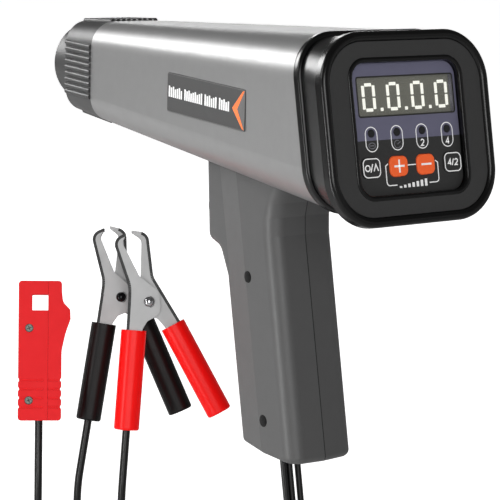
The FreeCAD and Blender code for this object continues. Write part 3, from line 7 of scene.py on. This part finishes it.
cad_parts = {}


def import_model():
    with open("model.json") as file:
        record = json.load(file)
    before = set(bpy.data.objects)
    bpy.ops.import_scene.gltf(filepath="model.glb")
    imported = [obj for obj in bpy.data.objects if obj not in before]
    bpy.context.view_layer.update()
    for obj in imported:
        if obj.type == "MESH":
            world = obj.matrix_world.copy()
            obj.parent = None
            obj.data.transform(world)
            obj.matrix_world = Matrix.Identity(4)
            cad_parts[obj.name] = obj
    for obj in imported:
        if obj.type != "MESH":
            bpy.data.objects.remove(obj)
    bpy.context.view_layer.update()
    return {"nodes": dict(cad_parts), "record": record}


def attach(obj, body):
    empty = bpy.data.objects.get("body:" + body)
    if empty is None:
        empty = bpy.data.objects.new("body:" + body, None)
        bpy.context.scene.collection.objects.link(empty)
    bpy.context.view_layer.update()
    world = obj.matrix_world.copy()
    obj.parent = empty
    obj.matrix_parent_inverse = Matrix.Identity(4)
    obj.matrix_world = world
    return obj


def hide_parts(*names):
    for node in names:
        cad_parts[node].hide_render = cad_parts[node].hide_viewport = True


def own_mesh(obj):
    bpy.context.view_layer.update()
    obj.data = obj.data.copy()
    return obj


# Looks of a hand-held timing light: display unit with keys, silver barrel, ribbed lamp end, grip, leads,
# two battery clips and a pickup clamp. Lengths here are millimetres unless a name says otherwise.

MM = 0.001
# How far the display leans back, and the level up its face where the keypad changes colour.
TILT = math.radians(12.5)
PANEL_SPLIT = -4.1
# How far the clips' flat cheeks are turned and tilted from facing straight back.
CLIP_TURN = math.radians(31.3)
CLIP_TILT = math.radians(13)

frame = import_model()
nodes = frame["nodes"]


# ---------------------------------------------------------------- materials

def colour(code):
    """Scene colour of a plain hexadecimal screen colour such as 'dc2a30'."""
    channels = [int(code[i:i + 2], 16) / 255 for i in (0, 2, 4)]
    linear = [c / 12.92 if c <= 0.04045 else ((c + 0.055) / 1.055) ** 2.4 for c in channels]
    return (linear[0], linear[1], linear[2], 1)


EDGE_ROUNDING = 0.25
FINE_GRAIN = 1400


class Shader:
    """A material's nodes, with short helpers for the ones that recur."""

    def __init__(self, name):
        self.material = bpy.data.materials.new(name)
        self.material.use_nodes = True
        self.tree = self.material.node_tree
        self.surface = self.tree.nodes["Principled BSDF"]

    def node(self, kind, **inputs):
        made = self.tree.nodes.new("ShaderNode" + kind)
        for key, value in inputs.items():
            made.inputs[key.replace("_", " ")].default_value = value
        return made

    def link(self, source, target):
        self.tree.links.new(source, target)

    def place(self):
        """Position in the object's own frame, in metres."""
        return self.node("TexCoord").outputs["Object"]

    def maths(self, operation, first, second=0.0):
        made = self.node("Math")
        made.operation = operation
        for socket, value in zip(made.inputs, (first, second)):
            if isinstance(value, (int, float)):
                socket.default_value = value
            else:
                self.link(value, socket)
        return made.outputs[0]

    def along(self, vector, direction):
        """How far a vector reaches along a direction."""
        made = self.node("VectorMath")
        made.operation = "DOT_PRODUCT"
        self.link(vector, made.inputs[0])
        made.inputs[1].default_value = direction
        return made.outputs["Value"]

    def blend(self, share, first, second):
        """Mix of two colours; each can be a value or a socket."""
        made = self.node("Mix")
        made.data_type = "RGBA"
        for socket, value in ((made.inputs[0], share), (made.inputs[6], first), (made.inputs[7], second)):
            if hasattr(value, "links"):
                self.link(value, socket)
            else:
                socket.default_value = value
        return made.outputs[2]

    def noise(self, scale, detail=3.0):
        made = self.node("TexNoise", Scale=scale, Detail=detail)
        self.link(self.place(), made.inputs["Vector"])
        return made.outputs["Fac"]

    def finish(self, base, roughness, metallic=0.0):
        """Sets the surface; a small mottle keeps the base and the gloss from being perfectly even."""
        mottle = self.noise(180)
        darker = self.blend(self.maths("MULTIPLY", mottle, 0.07), base, (0.0, 0.0, 0.0, 1.0))
        self.link(darker, self.surface.inputs["Base Color"])
        rough = self.maths("ADD", self.maths("MULTIPLY", mottle, 0.08), roughness - 0.04)
        self.link(rough, self.surface.inputs["Roughness"])
        self.surface.inputs["Metallic"].default_value = metallic
        return self

    def painted_edge_shade(self, base, reach, edge_shade_colour):
        """The base colour, turned to another within a short reach (mm) of any sharp edge; a darker one
        there is painted shade along the edges.
        """
        soft = self.node("Bevel", Radius=reach * MM).outputs["Normal"]
        bend = self.node("VectorMath")
        bend.operation = "DOT_PRODUCT"
        self.link(soft, bend.inputs[0])
        self.link(self.node("NewGeometry").outputs["True Normal"], bend.inputs[1])
        near = self.maths("LESS_THAN", bend.outputs["Value"], 0.985)
        return self.blend(near, base, edge_shade_colour)

    def grain(self, scale, strength, depth):
        """Fine texture of a moulded or painted face, with slightly rounded edges."""
        bump = self.node("Bump", Strength=strength, Distance=depth * MM)
        self.link(self.noise(scale, 2.0), bump.inputs["Height"])
        edge = self.node("Bevel", Radius=EDGE_ROUNDING * MM)
        self.link(edge.outputs["Normal"], bump.inputs["Normal"])
        self.link(bump.outputs["Normal"], self.surface.inputs["Normal"])
        return self


def plain(name, code, roughness, metallic=0.0, grain=0.0):
    """A finish in one colour."""
    shader = Shader(name)
    shader.finish(colour(code), roughness, metallic)
    shader.grain(FINE_GRAIN, grain, 0.05)
    return shader.material


GLASS_BENDING = 1.45


def clear(name, code, roughness):
    """A see-through finish."""
    shader = Shader(name)
    shader.finish(colour(code), roughness)
    shader.surface.inputs["Transmission Weight"].default_value = 1.0
    shader.surface.inputs["IOR"].default_value = GLASS_BENDING
    return shader.material


def pane(name, code, share):
    """Thin window: mostly see-through, tinted a little, with a faint gloss."""
    shader = Shader(name)
    shader.finish(colour(code), 0.12)
    through = shader.node("BsdfTransparent", Color=colour(code))
    mixed = shader.node("MixShader", Fac=share)
    shader.link(through.outputs[0], mixed.inputs[1])
    shader.link(shader.surface.outputs[0], mixed.inputs[2])
    shader.link(mixed.outputs[0], shader.tree.nodes["Material Output"].inputs["Surface"])
    return shader.material


def lit(name, code, strength):
    """A finish that gives off light."""
    shader = Shader(name)
    shader.finish(colour(code), 0.5)
    shader.surface.inputs["Emission Color"].default_value = colour(code)
    shader.surface.inputs["Emission Strength"].default_value = strength
    return shader.material


def bright(name, code, roughness, sheen, glow, edge=""):
    """A strong colour that white light doesn't wash out: a weak mirror and a little light of its own."""
    shader = Shader(name)
    # A darker edge colour here is painted shade along the sharp edges.
    base = shader.painted_edge_shade(colour(code), 0.22, colour(edge)) if edge else colour(code)
    shader.finish(base, roughness)
    shader.grain(FINE_GRAIN, 0.05, 0.05)
    shader.surface.inputs["Specular IOR Level"].default_value = sheen
    shader.surface.inputs["Emission Color"].default_value = colour(code)
    shader.surface.inputs["Emission Strength"].default_value = glow
    return shader.material


def grip_plastic():
    """Grey moulded plastic with a thin dark seam where the grip's halves meet."""
    shader = Shader("grip_plastic")
    across = shader.maths("ABSOLUTE", shader.along(shader.place(), (1, 0, 0)))
    seam = shader.maths("LESS_THAN", across, 0.22 * MM)
    base = shader.blend(seam, colour("626262"), colour("262626"))
    shader.finish(base, 0.42)
    shader.grain(FINE_GRAIN, 0.15, 0.05)
    return shader.material


def panel_print():
    """The keypad's sheet: blue-grey above and near black below a level line."""
    shader = Shader("panel_print")
    height = shader.along(shader.place(), (0, math.sin(TILT), math.cos(TILT)))
    above = shader.maths("GREATER_THAN", height, PANEL_SPLIT * MM)
    base = shader.blend(above, colour("404040"), colour("82819a"))
    shader.finish(base, 0.5)
    shader.grain(FINE_GRAIN, 0.05, 0.05)
    return shader.material


def metal_with_rim_shade(name, code, roughness, metallic):
    """Bright metal with painted shade and dark reflection round its rim."""
    shader = Shader(name)
    shader.finish(shader.painted_edge_shade(colour(code), 0.9, colour("0c0c0e")), roughness, metallic)
    return shader.material


def clip_plate_painted_reflection():
    """Plated sheet steel, pale on the flat cheeks; the cut and bent edges get painted dark reflection."""
    shader = Shader("clip_plate_painted_reflection")
    normal = shader.node("NewGeometry").outputs["True Normal"]
    level = math.cos(CLIP_TILT)
    cheek_normal = (-level * math.sin(CLIP_TURN), -level * math.cos(CLIP_TURN), math.sin(CLIP_TILT))
    facing = shader.maths("ABSOLUTE", shader.along(normal, cheek_normal))
    # Faces that turn away from the cheeks, on the bent and cut edges, are painted dark in place of their
    # reflection.
    cheek = shader.maths("GREATER_THAN", facing, 0.9)
    base = shader.blend(cheek, colour("1c1c1e"), colour("aeaeae"))
    shader.finish(base, 0.4, 0.4)
    shader.grain(900, 0.05, 0.03)
    return shader.material


FINISHES = {
    "rim_black": plain("rim_black", "050505", 0.24),
    "neck_black": plain("neck_black", "161616", 0.3),
    "bezel_grey": plain("bezel_grey", "464646", 0.55, grain=0.1),
    "panel_print": panel_print(),
    "display_glass": pane("display_glass", "f2f2ee", 0.05),
    "display_black": lit("display_back", "72726e", 0.45),
    "digit_white": lit("digit_white", "ffffff", 1.0),
    "board_green": plain("board_green", "1d5a33", 0.45),
    "lamp_dark": plain("lamp_dark", "2b2b2d", 0.35),
    "key_dark": plain("key_dark", "404040", 0.5, grain=0.05),
    "key_orange": bright("key_orange", "ff6a34", 0.5, 0.4, 0.3),
    "switch_black": plain("switch_black", "1a1a1a", 0.5),
    "screw_steel": metal_with_rim_shade("screw_steel", "767c76", 0.4, 0.6),
    "barrel_silver": plain("barrel_silver", "9e9e9e", 0.36, 0.35, grain=0.04),
    "label_dark": plain("label_dark", "4d4d4d", 0.5),
    "collar_grey": plain("collar_grey", "454545", 0.42, grain=0.08),
    "lens_clear": clear("lens_clear", "f4f8ff", 0.03),
    "reflector_chrome": plain("reflector_chrome", "e6e6e8", 0.08, 1.0),
    "tube_glass": clear("tube_glass", "fffdf2", 0.05),
    "base_white": plain("base_white", "d8d6cc", 0.6),
    "core_iron": plain("core_iron", "3c3c3c", 0.6),
    "can_blue": plain("can_blue", "24407c", 0.35),
    "coil_yellow": plain("coil_yellow", "c9a13a", 0.45),
    "grip_grey": grip_plastic(),
    "trigger_dark": plain("trigger_dark", "5a5a5a", 0.42, grain=0.1),
    "spring_steel": plain("spring_steel", "a8a8aa", 0.28, 0.95),
    "lead_black": plain("lead_black", "0a0a0a", 0.3),
    "clip_steel": clip_plate_painted_reflection(),
    "rivet_chrome": metal_with_rim_shade("rivet_chrome", "909094", 0.3, 0.9),
    "rivet_dark": plain("rivet_dark", "26262a", 0.22, 0.8),
    "sleeve_red": bright("sleeve_red", "ff0806", 0.34, 0.3, 0.22),
    "sleeve_black": bright("sleeve_black", "060606", 0.42, 0.3, 0.0),
    # The clamp's darker red edge colour, 8c0c10, is painted shade along its sharp edges.
    "clamp_red": bright("clamp_red", "f0141c", 0.45, 0.22, 0.16, "8c0c10"),
}
PRINT_WHITE = lit("print_white", "f6f6f6", 0.35)
PRINT_GREY = plain("print_grey", "9c9ca4", 0.55)
PRINT_ORANGE = bright("print_orange", "ff8347", 0.5, 0.4, 0.25)
# Dark print round the digits, and painted shade in the crosses of the clamp's screw heads.
DARK_PRINT_AND_SHADE = plain("dark_print_and_shade", "3a3a38", 0.5)
# Dark lines on the clips' outer cheek edges, painted in place of the dark reflection on the bent edges.
EDGE_REFLECTION_DARK = plain("painted_edge_reflection", "0a0a0a", 0.4)
RIVET_BRIGHT = plain("rivet_bright", "d0d0d2", 0.08, 1.0)
RIVET_BLACK = plain("rivet_black", "141416", 0.12, 0.6)
PRINT_SILVER = plain("print_silver", "8a8a8a", 0.36, 0.45)

for part in frame["record"]["subparts"]:
    mesh = nodes[part["node"]].data
    mesh.materials.clear()
    mesh.materials.append(FINISHES[part["material_slot"]])


# ---------------------------------------------------------------- shapes

def shape(name, corners, faces, material, smooth=False):
    """An object made of corners, in metres, and faces, in one finish."""
    mesh = bpy.data.meshes.new(name)
    mesh.from_pydata(corners, [], faces)
    if smooth:
        mesh.shade_smooth()
    mesh.materials.append(material)
    made = bpy.data.objects.new(name, mesh)
    bpy.context.scene.collection.objects.link(made)
    return made


def display_place(level):
    """The display's own frame at a height over the rim: X to the right, Y up the face, Z out of it."""
    return Matrix.Rotation(math.pi / 2 - TILT, 4, "X") @ Matrix.Translation((0, 0, level * MM))


def line(points, width, closed=False):
    """A line of even width through points, as flat four-cornered pieces that meet at mitres."""
    count = len(points)
    sides = []
    for i, here in enumerate(points):
        before = Vector(points[i - 1]) if (i > 0 or closed) else None
        after = Vector(points[(i + 1) % count]) if (i < count - 1 or closed) else None
        middle = Vector(here)
        runs = [(middle - before).normalized()] if before is not None else []
        runs += [(after - middle).normalized()] if after is not None else []
        normals = [Vector((-run.y, run.x)) for run in runs]
        mitre = sum(normals, Vector((0, 0))).normalized()
        reach = width / 2 / max(0.4, mitre.dot(normals[0]))
        sides.append((middle + mitre * reach, middle - mitre * reach))
    pieces = []
    for i in range(count if closed else count - 1):
        left, right = sides[i]
        far_left, far_right = sides[(i + 1) % count]
        pieces.append([left, right, far_right, far_left])
    return pieces


def arc(x, y, radius, start, end, steps=12, squeeze=1.0):
    """Points on an arc between two angles in degrees."""
    turns = [math.radians(start + (end - start) * i / steps) for i in range(steps + 1)]
    return [(x + radius * math.cos(t), y + squeeze * radius * math.sin(t)) for t in turns]


def rounded(x, y, half_width, half_height, radius):
    """Points round a rectangle with round corners."""
    points = []
    for across, up, start in ((1, 1, 0), (-1, 1, 90), (-1, -1, 180), (1, -1, 270)):
        centre = (x + across * (half_width - radius), y + up * (half_height - radius))
        points += arc(centre[0], centre[1], radius, start, start + 90, 8)
    return points


def flat(name, pieces, place, material, thickness=0.03):
    """A thin plate for each piece, a list of corners, standing on a plane; all plates are one mesh."""
    corners = []
    faces = []
    for piece in pieces:
        first = len(corners)
        count = len(piece)
        corners += [place @ Vector((p[0] * MM, p[1] * MM, 0)) for p in piece]
        corners += [place @ Vector((p[0] * MM, p[1] * MM, thickness * MM)) for p in piece]
        faces.append([first + i for i in reversed(range(count))])
        faces.append([first + count + i for i in range(count)])
        for i in range(count):
            onward = (i + 1) % count
            faces.append([first + i, first + onward, first + count + onward, first + count + i])
    return shape(name, corners, faces, material)


def two(x, y, height):
    """Strokes of the figure two."""
    half = height * 0.3
    top = arc(x, y + height / 2 - half, half, 160, -35, 10)
    return [top + [(x - half, y - height / 2), (x + half, y - height / 2)]]


def bead(name, half_width, half_height, radius, profile, place, material):
    """A closed ring of even section; the profile's points are (distance outwards, height)."""
    loops = []
    for outward, height in profile:
        points = rounded(0, 0, half_width + outward, half_height + outward, radius + outward)
        loops.append([place @ Vector((x * MM, y * MM, height * MM)) for x, y in points])
    count = len(loops[0])
    corners = [corner for loop in loops for corner in loop]
    faces = []
    for i in range(len(loops)):
        onward = (i + 1) % len(loops)
        for j in range(count):
            after = (j + 1) % count
            faces.append([i * count + j, i * count + after, onward * count + after, onward * count + j])
    return shape(name, corners, faces, material, smooth=True)


def four(x, y, height):
    """Strokes of the figure four."""
    half = height * 0.33
    bar = y - height * 0.2
    post = x + half * 0.45
    return [[(x + half, bar), (x - half, bar), (post, y + height / 2), (post, y - height / 2)]]


def strokes(lines, width):
    """Flat pieces for several open lines."""
    pieces = []
    for points in lines:
        pieces += line(points, width)
    return pieces


# ---------------------------------------------------------------- display

# Levels over the rim's plane of the keypad's sheet and of the keys' tops.
PANEL_LEVEL = -3.8
KEY_LEVEL = -3.1
KEY_ROW = -14.6
KEY_PITCH = 13.4
KEY_MIDDLE = 0.9
PILL_CENTRES = (-17.6, -5.2, 7.2, 19.9)
PILL_ROW = -3.65
SIGN_ROW = -6.1
THIN_LINE = 0.36
KEY_LINE = 0.42
SIGN_LINE = 0.5
BOLD_LINE = 0.75


def on_panel(name, pieces, material):
    """Prints on the keypad's sheet."""
    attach(flat(name, pieces, display_place(PANEL_LEVEL), material), "gun")


def on_key(name, part, pieces):
    """White prints on a key, which move with it."""
    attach(flat(name + part, pieces, display_place(KEY_LEVEL), PRINT_WHITE), name)


def digit_window_edge():
    """The dark frame round the digits."""
    pieces = line(rounded(1.2, 12.6, 23.7, 7.6, 1.0), 0.6, closed=True)
    on_panel("digit_window_edge", pieces, DARK_PRINT_AND_SHADE)


def window_surround():
    """The round black edge of the opening, with a lining down to the keypad."""
    over = arc(0.85, 0, 0.95, 0, 180, 8, 0.45)
    profile = [(x, y - 1.2) for x, y in over] + [(-0.1, -3.7), (0.3, -3.7), (0.3, -1.25), (1.7, -1.25)]
    made = bead("window_surround", 26.4, 25.6, 6.4, profile, display_place(0), FINISHES["rim_black"])
    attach(made, "gun")


def pills():
    """The outline round each lamp and the sign below it."""
    outlines = []
    for x in PILL_CENTRES:
        outlines += line(rounded(x, PILL_ROW, 2.8, 4.7, 2.75), THIN_LINE, closed=True)
    on_panel("lamp_outlines", outlines, PRINT_WHITE)
    oval_x, dial_x, two_x, four_x = PILL_CENTRES
    figures = strokes(two(two_x, SIGN_ROW, 2.4) + four(four_x, SIGN_ROW, 2.4), 0.45)
    on_panel("lamp_figures", figures, PRINT_WHITE)
    oval = arc(oval_x, SIGN_ROW, 1.6, 0, 360, 20, 0.7)
    bar = [(oval_x - 1.0, SIGN_ROW), (oval_x + 1.0, SIGN_ROW)]
    dial = arc(dial_x, SIGN_ROW, 1.5, 60, 330, 16)
    pointer = [(dial_x, SIGN_ROW), (dial_x + 1.5, SIGN_ROW + 0.9)]
    on_panel("lamp_signs", strokes([oval, bar, dial, pointer], 0.34), PRINT_GREY)


def key_prints():
    """White outlines and signs on the four keys."""
    places = [KEY_MIDDLE + KEY_PITCH * share for share in (-1.5, -0.5, 0.5, 1.5)]
    mode_x, plus_x, minus_x, stroke_x = places
    for name, x in (("mode_key", mode_x), ("stroke_key", stroke_x)):
        on_key(name, "_outline", line(rounded(x, KEY_ROW, 4.0, 3.55, 1.9), KEY_LINE, closed=True))
    ring = arc(mode_x - 2.0, KEY_ROW, 1.1, 0, 360, 20)
    slash = [(mode_x - 0.6, KEY_ROW - 1.6), (mode_x + 0.5, KEY_ROW + 1.6)]
    peak = [(mode_x + 0.9, KEY_ROW - 1.2), (mode_x + 2.0, KEY_ROW + 1.3), (mode_x + 3.1, KEY_ROW - 1.2)]
    on_key("mode_key", "_sign", strokes([ring, slash, peak], SIGN_LINE))
    slash = [(stroke_x - 0.5, KEY_ROW - 1.3), (stroke_x + 0.4, KEY_ROW + 1.3)]
    figures = four(stroke_x - 1.6, KEY_ROW, 2.3) + [slash] + two(stroke_x + 1.7, KEY_ROW, 2.3)
    on_key("stroke_key", "_sign", strokes(figures, SIGN_LINE))
    half = 2.5
    bar = [(plus_x - half, KEY_ROW), (plus_x + half, KEY_ROW)]
    post = [(plus_x, KEY_ROW - half), (plus_x, KEY_ROW + half)]
    on_key("plus_key", "_sign", strokes([bar, post], BOLD_LINE))
    bar = [(minus_x - half, KEY_ROW), (minus_x + half, KEY_ROW)]
    on_key("minus_key", "_sign", strokes([bar], BOLD_LINE))


def key_bracket():
    """The dash between the plus and minus keys and the bracket below them, with a rising row of bars."""
    foot = -21.8
    half = 12.9
    bend = 1.4
    middle = KEY_MIDDLE
    dash = [(middle - 2.0, KEY_ROW + 0.2), (middle + 2.0, KEY_ROW + 0.2)]
    lines = [dash]
    for side in (-1, 1):
        post = middle + side * half
        corner = arc(post - side * bend, foot + bend, bend, 180 if side < 0 else 360, 270, 6)
        top = [(post - side * 1.2, KEY_ROW + 1.2), (post, KEY_ROW + 0.4)]
        lines.append(top + corner + [(middle + side * 8.0, foot)])
    on_panel("key_bracket", strokes(lines, KEY_LINE), PRINT_WHITE)
    bars = []
    for i in range(7):
        x = middle + (i - 3) * 2.1
        low = foot - 1.2
        high = low + 0.7 + 0.35 * i
        bars.append([(x - 0.6, low), (x + 0.6, low), (x + 0.6, high), (x - 0.6, high)])
    on_panel("key_bracket_scale", bars, PRINT_WHITE)


# ---------------------------------------------------------------- clips, springs and clamp

def joint_named(name):
    return next(j for j in frame["record"]["behaviour"]["joints"] if j["name"] == name)


# Width of the painted dark reflection line on a cheek, and how squarely an edge has to face the side to
# have one.
EDGE_WIDTH = 1.5
EDGE_LIMIT = -0.25


def cheek_edge_reflections(node, body, out, across):
    """A dark line, painted reflection of the bent edge, just inside one side of a flat cheek's outline;
    across points towards that side.
    """
    mesh = nodes[node].data
    corners = [vertex.co for vertex in mesh.vertices]
    level = max(corner.dot(out) for corner in corners) - 0.05 * MM
    faces = [f for f in mesh.polygons if f.normal.dot(out) > 0.999 and f.center.dot(out) > level]
    sides = {}
    for face in faces:
        for key in face.edge_keys:
            sides.setdefault(key, []).append(face)
    lines = []
    for (first, last), users in sides.items():
        if len(users) > 1:
            continue
        start = corners[first]
        end = corners[last]
        inward = out.cross(end - start).normalized()
        if inward.dot(users[0].center - start) < 0:
            inward = -inward
        if inward.dot(across) > EDGE_LIMIT:
            continue
        lift = out * 0.02 * MM
        width = inward * EDGE_WIDTH * MM
        lines.append([start + lift, end + lift, end + width + lift, start + width + lift])
    name = node + "_edge" + ("_back" if out.y > 0 else "_front")
    line_corners = [corner for quad in lines for corner in quad]
    line_faces = [range(4 * i, 4 * i + 4) for i in range(len(lines))]
    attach(shape(name, line_corners, line_faces, EDGE_REFLECTION_DARK), body)


def dome(name, centre, out, material):
    """The rounded head of a rivet, standing on a plane."""
    turned = out.to_track_quat("Z", "Y").to_matrix().to_4x4()
    place = Matrix.Translation(centre) @ turned
    radius = 2.2
    height = 1.1
    rings = 8
    steps = 32
    corners = [place @ Vector((0, 0, height * MM))]
    for i in range(1, rings + 1):
        lean = math.pi / 2 * i / rings
        for j in range(steps):
            spin = 2 * math.pi * j / steps
            reach = radius * math.sin(lean)
            level = height * math.cos(lean)
            corners.append(place @ (Vector((reach * math.cos(spin), reach * math.sin(spin), level)) * MM))
    faces = [(0, 1 + j, 1 + (j + 1) % steps) for j in range(steps)]
    for i in range(rings - 1):
        low = 1 + i * steps
        for j in range(steps):
            onward = (j + 1) % steps
            faces.append((low + j, low + steps + j, low + steps + onward, low + onward))
    return shape(name, corners, faces, material, smooth=True)


def clip_details():
    """Painted dark reflection along the clips' outer cheek edges, and round heads on their rivets."""
    for clip, head in (("red", RIVET_BRIGHT), ("black", RIVET_BLACK)):
        joint = joint_named(clip + "_clip_open")
        turn = Vector(joint["axis"])
        out = -turn if turn.y > 0 else turn
        right = Vector((0, 0, 1)).cross(out).normalized()
        rivet = nodes[clip + "_rivet"].data
        heights = [vertex.co.dot(out) for vertex in rivet.vertices]
        centre = Vector(joint["pos_m"])
        for way, level in ((1, max(heights)), (-1, -min(heights))):
            normal = out * way
            base = centre + normal * (level - centre.dot(normal))
            name = clip + "_rivet_head_" + ("front" if way > 0 else "back")
            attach(dome(name, base, normal, head), "gun")
            cheek_edge_reflections(clip + "_fixed_jaw", "gun", normal, -right)
            cheek_edge_reflections(clip + "_moving_jaw", clip + "_jaw", normal, right)


def springing(node):
    """A copy of a coil spring, fixed to the gun in place of the spring itself."""
    source = nodes[node]
    made = bpy.data.objects.new(node + "_coils", source.data.copy())
    bpy.context.scene.collection.objects.link(made)
    made.matrix_world = source.matrix_world.copy()
    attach(made, "gun")
    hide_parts(node)
    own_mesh(made)


def clamp_screw_cross_shade():
    """A dark cross, painted shade of the recess, in the head of each of the clamp's two screws, measured
    from the window's axis.
    """
    window = next(m for m in frame["record"]["mounts"] if m["name"] == "pickup_window")
    slide = joint_named("pickup_slide_open")
    out = Vector(window["axis"])
    up = -Vector(slide["axis"])
    right = up.cross(out)
    turned = Matrix((right, up, out)).transposed().to_4x4()
    middle = Vector(window["pos_m"]) - up * 24.2 * MM
    head_level = 8.7
    screw_x = -5.4
    half_stroke = 1.2
    place = Matrix.Translation(middle) @ turned @ Matrix.Translation((0, 0, head_level * MM))
    marks = []
    for screw_y in (11.3, -24.9):
        for turn in (20, 110):
            way = Vector((math.cos(math.radians(turn)), math.sin(math.radians(turn)))) * half_stroke
            marks.append([(screw_x - way.x, screw_y - way.y), (screw_x + way.x, screw_y + way.y)])
    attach(flat("clamp_screw_cross_shade", strokes(marks, 0.4), place, DARK_PRINT_AND_SHADE), "gun")


# ---------------------------------------------------------------- label

BARREL_REAR = 23
BARREL_FRONT = 208
BARREL_REAR_HALF = 38
BARREL_FRONT_HALF = 23.3
LABEL_REAR = 63
LABEL_FRONT = 130.5
LABEL_HALF_HEIGHT = 8.2
LABEL_RISE = 0.3
# Bars in each group, a bar's width, from bar to bar, and the extra space after a group.
LABEL_WORDS = (7, 9, 6, 5)
BAR_WIDTH = 1.2
BAR_PITCH = 1.82
WORD_GAP = 1.5


def label_prints():
    """The barrel's label: a thin pale edge, plain bars in a row and a chevron at the rear end."""
    narrowing = BARREL_REAR_HALF - BARREL_FRONT_HALF
    length = BARREL_FRONT - BARREL_REAR
    taper = math.atan(narrowing / length)
    middle_y = (LABEL_REAR + LABEL_FRONT) / 2
    side = BARREL_REAR_HALF - narrowing * (middle_y - BARREL_REAR) / length
    facing = Matrix.Rotation(-math.pi / 2 - taper, 4, "Z") @ Matrix.Rotation(math.pi / 2, 4, "X")
    rise = Matrix.Translation((0, 0, LABEL_RISE * MM))
    place = Matrix.Translation((-side * MM, middle_y * MM, 0)) @ facing @ rise
    half = (LABEL_FRONT - LABEL_REAR) / 2
    edge = line(rounded(0, 0, half - 0.2, LABEL_HALF_HEIGHT, 0.8), 0.3, closed=True)
    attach(flat("label_edge", edge, place, PRINT_SILVER), "gun")
    bars = []
    low = -1.9
    x = -half + 1.4
    for count in LABEL_WORDS:
        for i in range(count):
            top = 2.8 if i == 0 else 1.7 + 0.5 * (i % 3)
            bars.append([(x, low), (x + BAR_WIDTH, low), (x + BAR_WIDTH, top), (x, top)])
            x += BAR_PITCH
        x += WORD_GAP
    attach(flat("label_bars", bars, place, PRINT_WHITE), "gun")
    tip = half - 10.5
    end = half - 0.4
    notch = [(tip + 1.6, 0), (end + 0.3, -LABEL_HALF_HEIGHT), (end + 0.3, LABEL_HALF_HEIGHT)]
    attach(flat("label_notch", [notch], place, PRINT_SILVER), "gun")
    chevron = [
        [(tip, 0), (end - 1.6, -7.7), (end - 0.2, -7.9), (tip + 4.2, 0)],
        [(tip, 0), (tip + 4.2, 0), (end - 0.2, 7.9), (end - 1.6, 7.7)],
    ]
    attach(flat("label_chevron", chevron, place, PRINT_ORANGE, 0.05), "gun")


digit_window_edge()
window_surround()
pills()
key_prints()
key_bracket()
label_prints()
clamp_screw_cross_shade()
clip_details()
springing("trigger_spring")
springing("pickup_spring")


# ---------------------------------------------------------------- stage, lights and camera

def floor():
    """A plain white floor, in metres, that stays white to the camera."""
    half = 9.0
    level = -0.3025
    corners = [(-half, -half, level), (half, -half, level), (half, half, level), (-half, half, level)]
    shader = Shader("floor_white")
    shader.finish((0.93, 0.93, 0.93, 1.0), 0.8)
    seen = shader.node("LightPath").outputs["Is Camera Ray"]
    shader.link(shader.maths("MULTIPLY", seen, 0.9), shader.surface.inputs["Emission Strength"])
    shader.surface.inputs["Emission Color"].default_value = (1, 1, 1, 1)
    shape("floor", corners, [(0, 1, 2, 3)], shader.material)


def softbox(name, place, target, width, height, power):
    """A rectangular light at a place in metres, turned to a target."""
    light = bpy.data.lights.new(name, "AREA")
    light.shape = "RECTANGLE"
    light.size = width
    light.size_y = height
    light.energy = power
    made = bpy.data.objects.new(name, light)
    made.location = place
    made.rotation_euler = (Vector(target) - Vector(place)).to_track_quat("-Z", "Y").to_euler()
    bpy.context.scene.collection.objects.link(made)


def world():
    """White behind everything; reflections see a paler band at the horizon and a dim sky."""
    made = bpy.data.worlds.new("studio")
    bpy.context.scene.world = made
    made.use_nodes = True
    tree = made.node_tree
    background = tree.nodes["Background"]
    place = tree.nodes.new("ShaderNodeTexCoord")
    split = tree.nodes.new("ShaderNodeSeparateXYZ")
    tree.links.new(place.outputs["Generated"], split.inputs[0])
    ramp = tree.nodes.new("ShaderNodeValToRGB")
    tree.links.new(split.outputs["Z"], ramp.inputs["Fac"])
    stops = ramp.color_ramp.elements
    stops[0].position = 0.0
    stops[0].color = (0.42, 0.42, 0.42, 1)
    stops[1].position = 0.35
    stops[1].color = (0.1, 0.1, 0.1, 1)
    path = tree.nodes.new("ShaderNodeLightPath")
    mix = tree.nodes.new("ShaderNodeMix")
    mix.data_type = "RGBA"
    tree.links.new(path.outputs["Is Camera Ray"], mix.inputs[0])
    tree.links.new(ramp.outputs["Color"], mix.inputs[6])
    mix.inputs[7].default_value = (1, 1, 1, 1)
    tree.links.new(mix.outputs[2], background.inputs["Color"])
    background.inputs["Strength"].default_value = 1.0


def camera():
    """The view from behind and left of the display, rolled a little."""
    azimuth = math.radians(-34.753)
    height = math.radians(11.392)
    roll = math.radians(1.752)
    level = math.cos(height)
    back = Vector((math.sin(azimuth) * level, -math.cos(azimuth) * level, math.sin(height)))
    forward = -back
    right = forward.cross(Vector((0, 0, 1))).normalized()
    up = right.cross(forward)
    turned_right = right * math.cos(roll) + up * math.sin(roll)
    turned_up = up * math.cos(roll) - right * math.sin(roll)
    data = bpy.data.cameras.new("camera")
    data.lens = 137.96
    data.sensor_width = 36
    data.clip_start = 0.01
    made = bpy.data.objects.new("camera", data)
    bpy.context.scene.collection.objects.link(made)
    facing = Matrix((turned_right, turned_up, back)).transposed().to_4x4()
    made.matrix_world = Matrix.Translation((-0.4675, -0.5666, 0.0972)) @ facing
    bpy.context.scene.camera = made


floor()
softbox("key", (-1.1, 0.5, 0.6), (0, 0.12, 0), 0.6, 0.5, 3)
softbox("front", (-0.62, 1.7, 0.62), (0, 0.1, 0), 0.55, 0.62, 14)
softbox("horizon", (1.0, 1.6, 0.4), (0, 0.1, 0), 0.6, 0.2, 2)
softbox("fill", (-0.9, -1.6, 0.5), (0, 0.1, -0.05), 0.9, 0.9, 10)
softbox("strip", (-0.5, 0.07, -0.13), (0, 0.08, -0.09), 0.05, 0.3, 0.8)
world()
camera()
bpy.context.scene.view_settings.view_transform = "Standard"
